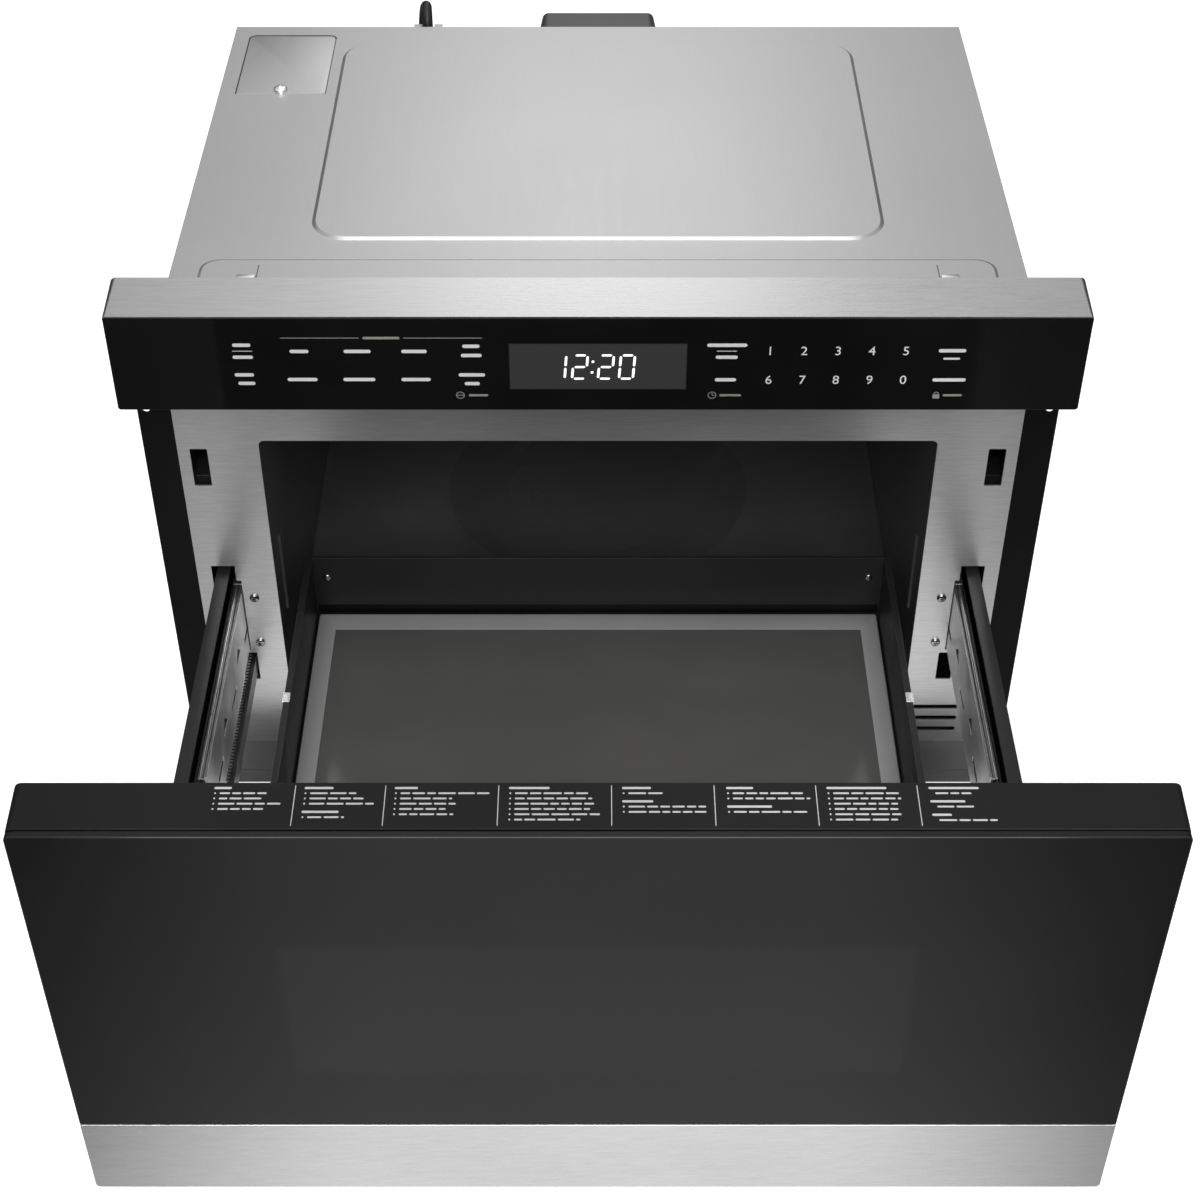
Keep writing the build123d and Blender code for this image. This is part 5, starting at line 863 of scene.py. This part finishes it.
def clock_readout():
    """The clock's lit segments behind the glass."""
    bm = bmesh.new()
    end = (DIGIT_TALL - DIGIT_THICK) / 2
    side = DIGIT_WIDE / 2
    middle = (DIGIT_TALL / 2 - DIGIT_THICK) / 2 + 0.4
    upright = (DIGIT_THICK, DIGIT_TALL / 2 - DIGIT_THICK - 0.3)
    level = (DIGIT_WIDE - DIGIT_THICK - 0.5, DIGIT_THICK)
    places = {"a": (0, end, level), "d": (0, -end, level), "g": (0, 0, level),
              "b": (side, middle, upright), "c": (side, -middle, upright),
              "e": (-side, -middle, upright), "f": (-side, middle, upright)}
    for digit, x in CLOCK_DIGITS:
        for segment in SEGMENTS[digit]:
            dx, dy, size = places[segment]
            flat_bar(bm, x + dx, dy, *size, 0.42, 1)
    for dy in (-COLON_DY, COLON_DY):
        flat_bar(bm, COLON_X, dy, COLON_DOT, COLON_DOT, 0.3, 2)
    for vert in bm.verts:
        vert.co.x += DIGIT_LEAN * vert.co.y
    place = ON_CONTROL @ Matrix.Translation((0, CLOCK_Z, 0))
    printed(bm, "clock_readout", "chassis", "white_plastic", CLOCK_LIGHT, place)


key_labels()
key_numbers()
hold_signs()
clock_readout()

# Guide on top of the drawer front: column start, and its rows as (kind, width); h heading, r row, g gap.
GUIDE = [
    (-198.2, "h9 r29 r27 r37 r29"), (-151.6, "h15 r27 r31 r38 g0 h19 r22"),
    (-105.0, "h12 r49 r30 r32 r27 r31"), (-46.0, "h21 r41 r43 r44 r42 r47 r37"),
    (12.4, "h15 r23 g0 h16 r43 r43"), (66.2, "h14 r40 r43 g0 h23 r42"),
    (118.0, "h31 r38 r38 r36 r38 r37 r35"), (170.7, "h26 r23 g0 h18 r23 g0 h10 r33"),
]
NO_BULLETS = 170.7         # the column whose rows have no bullets
GUIDE_TOP = 33.2
ROW_PITCH = 3.55
ROW_INDENT = 3.2
WORD_SPACE = 1.1
HEADING_HEIGHT = 1.5
ROW_HEIGHT = 1.15
GUIDE_RULES = (-156.3, -109.7, -51.3, 7.0, 60.0, 112.5, 164.9)
RULE = (21.4, 0.45, 27.2)  # a rule's middle, width and length


def guide_row(bm, dice, start, y, kind, width):
    """One row: a heading as one bar, or a bullet and bars of random width."""
    heading = kind == "h"
    x = start + (0.0 if heading else ROW_INDENT)
    end = start + width
    while x < end - 1.2:
        word = min(width if heading else dice.uniform(4.0, 9.5), end - x)
        flat_bar(bm, x + word / 2, y, word, HEADING_HEIGHT if heading else ROW_HEIGHT)
        x += word + WORD_SPACE
    if not heading and start != NO_BULLETS:
        flat_bar(bm, start + 0.8, y, 0.9, ROW_HEIGHT)


def door_guide():
    """Rows of plain bars and thin rules on top of the drawer front."""
    bm = bmesh.new()
    dice = random.Random(4)
    for start, rows in GUIDE:
        y = GUIDE_TOP
        for row in rows.split():
            kind = row[0]
            if kind == "g":
                y -= ROW_PITCH * 0.55
            else:
                guide_row(bm, dice, start, y, kind, float(row[1:]))
                y -= ROW_PITCH
    for x in GUIDE_RULES:
        flat_bar(bm, x, *RULE)
    printed(bm, "door_guide", "drawer", "white_plastic", GUIDE_PRINT, ON_DOOR_TOP)


door_guide()


# ---- Power cord --------------------------------------------------------------------
CORD_D = 8.0
CORD_X = -132.0
CORD_Y = 409.5
BOOT_Z = 338.0
BOOT_L = 22.0
FLOOR_Z = 4.1
COIL_X = -118.0
COIL_Y = 596.0
COIL_R = 51.0
COIL_PITCH = 8.75
COIL_TURNS = 3.0
COIL_STEPS = 16            # points on each turn
COIL_FAN = 22.0            # the last half turn opens by this much
CORD_ROUTE = [
    (-132.0, 409.5, 360.0), (-132.0, 409.5, 374.0), (-132.6, 417.0, 382.5), (-133.8, 428.5, 381.5),
    (-136.6, 439.0, 372.0), (-138.8, 445.0, 350.0), (-143.0, 448.0, 305.0), (-147.0, 450.0, 235.0),
    (-152.0, 457.0, 165.0), (-157.0, 465.0, 105.0), (-161.0, 475.0, 60.0), (-163.5, 492.0, 24.0),
    (-165.0, 524.0, 4.1), (-169.0, 558.0, 4.1), (-169.0, 588.0, 4.1),
]


def eased(value):
    """Nought to one with a soft start and end."""
    held = min(1.0, max(0.0, value))
    return held * held * (3 - 2 * held)


def coil_point(turn):
    """Centre line of the coil after so many turns."""
    half = COIL_TURNS / 2
    radius = COIL_R - COIL_PITCH * (half - abs(turn - half))
    radius += COIL_FAN * eased((turn - COIL_TURNS + 0.5) / 0.5)
    height = FLOOR_Z + COIL_PITCH * eased((turn - half + 0.25) / 0.5)
    angle = math.pi - FULL_TURN * turn
    return Vector((COIL_X + radius * math.cos(angle), COIL_Y + radius * math.sin(angle), height))


coil_heading = (coil_point(COIL_TURNS) - coil_point(COIL_TURNS - 0.02)).normalized()
coil_end = coil_point(COIL_TURNS) + coil_heading * CORD_D


def cord():
    """The cord from its boot, down behind the casing, to the coil on the floor."""
    points = [Vector(p) for p in CORD_ROUTE]
    points += [coil_point(n / COIL_STEPS) for n in range(int(COIL_TURNS * COIL_STEPS) + 1)] + [coil_end]
    curve = bpy.data.curves.new("power_cord", "CURVE")
    curve.dimensions = "3D"
    line = curve.splines.new("NURBS")
    line.points.add(len(points) - 1)
    for point, place in zip(line.points, points):
        point.co = (*(place * MM), 1.0)
    line.order_u = 3
    line.use_endpoint_u = True
    line.resolution_u = 8
    curve.bevel_depth = CORD_D / 2 * MM
    curve.bevel_resolution = 4
    curve.use_fill_caps = True
    curve.materials.append(FINISHES["cord_black"])
    piece = bpy.data.objects.new("power_cord", curve)
    scene.collection.objects.link(piece)
    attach(piece, "chassis")
    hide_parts("cord_run", "cord_coil")
    return piece


GLAND_HALF = 11.0          # the square gland under the boot
GLAND_Y = (401.9, CORD_Y + 7)
GLAND_TALL = 20.0
BOOT_WALL = 3.0
BOOT_RINGS = 5
GROOVE_DEPTH = 0.9


def strain_boot():
    """Gland on the back panel and its tapered, grooved boot."""
    bm = bmesh.new()
    add_box(bm, (CORD_X - GLAND_HALF, GLAND_Y[0], BOOT_Z - GLAND_TALL),
            (CORD_X + GLAND_HALF, GLAND_Y[1], BOOT_Z), 2.4)
    r = CORD_D / 2
    foot = r + BOOT_WALL
    ring = BOOT_L * 0.78 / BOOT_RINGS
    outline = [(0.0, -1.0), (foot, -1.0)]
    for n in range(BOOT_RINGS):
        z = BOOT_L * 0.14 + ring * n
        wide = foot - 1.8 * (z + 2) / BOOT_L
        narrow = wide - GROOVE_DEPTH
        outline += [(wide, z), (narrow, z + 0.2 * ring), (narrow, z + 0.5 * ring), (wide, z + 0.7 * ring)]
    outline += [(r + 1.0, BOOT_L - 0.8), (r + 0.6, BOOT_L), (0.0, BOOT_L)]
    boot = bmesh.new()
    lathe(boot, outline, 32)
    bmesh.ops.remove_doubles(boot, verts=boot.verts, dist=1e-4)
    boot.transform(Matrix.Translation((CORD_X, CORD_Y, BOOT_Z)))
    join(bm, boot)
    to_metres(bm)
    make_piece(bm, "strain_boot", "chassis", "cord_black", replaces=("strain_relief",))


PLUG_SIZE = (26.0, 25.0, 26.0)
PLUG_MIDDLE = 25.0         # from the cord's end to the middle of the block
PLUG_NOSE = 12.0           # length of the taper towards the cord
PLUG_NOSE_SHARE = (0.44, 0.46, 1.0)
PLUG_ROUNDING = 3.4
RIB_X = 12.7
RIB_HALF = 7.0
RIB_Z = (17.0, 18.8)       # the first rib
RIB_PITCH = 4.4


def plug_shell():
    """Moulded plug with a rounded shell and grip ribs."""
    side = coil_heading.cross(Vector((0, 0, 1))).normalized()
    across = coil_heading.cross(side)
    axes = Matrix((side, across, coil_heading)).transposed().to_4x4()
    bm = bmesh.new()
    made = bmesh.ops.create_cube(bm, size=1.0)["verts"]
    bmesh.ops.scale(bm, vec=PLUG_SIZE, verts=made)
    bmesh.ops.translate(bm, vec=(0, 0, PLUG_MIDDLE), verts=made)
    nose = [f for f in bm.faces if f.normal.z < -0.9]
    drawn = bmesh.ops.extrude_face_region(bm, geom=nose)
    tip = [v for v in drawn["geom"] if isinstance(v, bmesh.types.BMVert)]
    bmesh.ops.delete(bm, geom=nose, context="FACES_ONLY")
    bmesh.ops.translate(bm, vec=(0, 0, -PLUG_NOSE), verts=tip)
    bmesh.ops.scale(bm, vec=PLUG_NOSE_SHARE, verts=tip)
    round_edges(bm, list(bm.edges), PLUG_ROUNDING, 4)
    for n in range(4):
        low, high = (z + RIB_PITCH * n for z in RIB_Z)
        for sign in (-1, 1):
            x = sign * RIB_X
            add_box(bm, (x - 0.55, -RIB_HALF, low), (x + 0.3 * sign + 0.25, RIB_HALF, high), 0.4)
    to_metres(bm, Matrix.Translation(coil_end) @ axes)
    return make_piece(bm, "plug_shell", "chassis", "cord_black", replaces=("plug_body",), sharp=40.0)


power_cord = cord()
strain_boot()
plug = plug_shell()


# ---- Stage -------------------------------------------------------------------------
FLOOR_SIZE = (9.0, 9.0, 0.02)   # metres, as all of the stage
FLOOR_MIDDLE = -0.0103
FLOOR_SHADE = 0.86
FLOOR_GLOW = 0.62
AMBIENT = 0.36                  # the sky's strength to matt surfaces
WHITE = (1, 1, 1, 1)


def seen_plain(net):
    """One for camera, glossy and transmission rays, which see the white background, and zero for the rest."""
    path = net.add("ShaderNodeLightPath").outputs
    seen = net.math("MAXIMUM", path["Is Camera Ray"], path["Is Glossy Ray"])
    return path, net.math("MAXIMUM", seen, path["Is Transmission Ray"])


def floor():
    """Pale floor that keeps the shadow; its pool of light shows in the steel and the glass."""
    bm = bmesh.new()
    made = bmesh.ops.create_cube(bm, size=1.0)["verts"]
    bmesh.ops.scale(bm, vec=FLOOR_SIZE, verts=made)
    bmesh.ops.translate(bm, vec=(0, 0, FLOOR_MIDDLE), verts=made)
    mesh = bpy.data.meshes.new("floor")
    bm.to_mesh(mesh)
    bm.free()
    material = bpy.data.materials.new("pale_floor")
    material.use_nodes = True
    net = Net(material.node_tree)
    net.tree.nodes.remove(net.tree.nodes["Principled BSDF"])
    path, seen = seen_plain(net)
    place = net.add("ShaderNodeTexCoord").outputs["Object"]
    axes = net.add("ShaderNodeSeparateXYZ", {0: place}).outputs
    pool = net.spread(net.math("ABSOLUTE", axes["X"]), 0.12, 0.44, 1.0, 0.16)
    pool = net.math("MULTIPLY", pool, net.spread(axes["Y"], 1.4, 2.2, 1.0, 0.35))
    matt = net.add("ShaderNodeBsdfDiffuse", {"Color": grey(FLOOR_SHADE)})
    white = net.add("ShaderNodeEmission", {"Color": WHITE, "Strength": FLOOR_GLOW})
    lit = net.add("ShaderNodeAddShader", {0: matt.outputs[0], 1: white.outputs[0]})
    mirrored = net.add("ShaderNodeEmission", {"Color": WHITE, "Strength": pool})
    camera = net.add("ShaderNodeMixShader", {0: path["Is Camera Ray"], 1: matt.outputs[0], 2: lit.outputs[0]})
    glossy = net.math("SUBTRACT", seen, path["Is Camera Ray"])
    both = net.add("ShaderNodeMixShader", {0: glossy, 1: camera.outputs[0], 2: mirrored.outputs[0]})
    net.feed(net.tree.nodes["Material Output"].inputs["Surface"], both.outputs[0])
    mesh.materials.append(material)
    ground = bpy.data.objects.new("floor", mesh)
    scene.collection.objects.link(ground)


def world():
    """White to the eye, brighter behind than beside to glossy surfaces, a soft grey light to the rest."""
    sky = bpy.data.worlds.new("studio")
    sky.use_nodes = True
    scene.world = sky
    net = Net(sky.node_tree)
    path, seen = seen_plain(net)
    aim = net.add("ShaderNodeTexCoord").outputs["Generated"]
    axes = net.add("ShaderNodeSeparateXYZ", {0: aim}).outputs
    aside = net.math("ABSOLUTE", axes["X"])
    glow = net.spread(aside, 0.02, 0.44, 1.20, 0.37)
    glow = net.math("ADD", glow, net.spread(aside, 0.46, 0.74, 0.0, 0.5))
    glow = net.math("MULTIPLY", glow, net.spread(axes["Z"], 0.425, 0.49, 0.06, 1.0))
    strength = net.math("MULTIPLY", net.math("SUBTRACT", glow, AMBIENT), seen)
    strength = net.math("ADD", strength, AMBIENT)
    strength = net.math("MAXIMUM", strength, path["Is Camera Ray"])
    background = sky.node_tree.nodes["Background"].inputs
    net.feed(background["Strength"], strength)
    net.feed(background["Color"], WHITE)


def softbox(name, place, aim, size, watts):
    """A soft lamp at a place, turned towards a point."""
    data = bpy.data.lights.new(name, "AREA")
    data.shape = "RECTANGLE"
    data.size, data.size_y = size
    data.energy = watts
    lamp = bpy.data.objects.new(name, data)
    lamp.location = place
    lamp.rotation_euler = (Vector(place) - Vector(aim)).to_track_quat("Z", "Y").to_euler()
    scene.collection.objects.link(lamp)


floor()
world()
softbox("overhead", (0.0, -0.35, 2.5), (0.0, 0.0, 0.2), (1.8, 1.8), 20.0)
softbox("rear", (0.0, 2.3, 1.75), (0.0, 0.2, 0.35), (0.7, 0.9), 3.0)
softbox("front", (0.0, -2.7, 1.1), (0.0, 0.0, 0.2), (1.6, 1.2), 10.0)
softbox("fill", (0.0, -1.9, 1.8), (0.0, -0.1, 0.12), (1.4, 0.9), 28.0)

scene.view_settings.view_transform = "Standard"
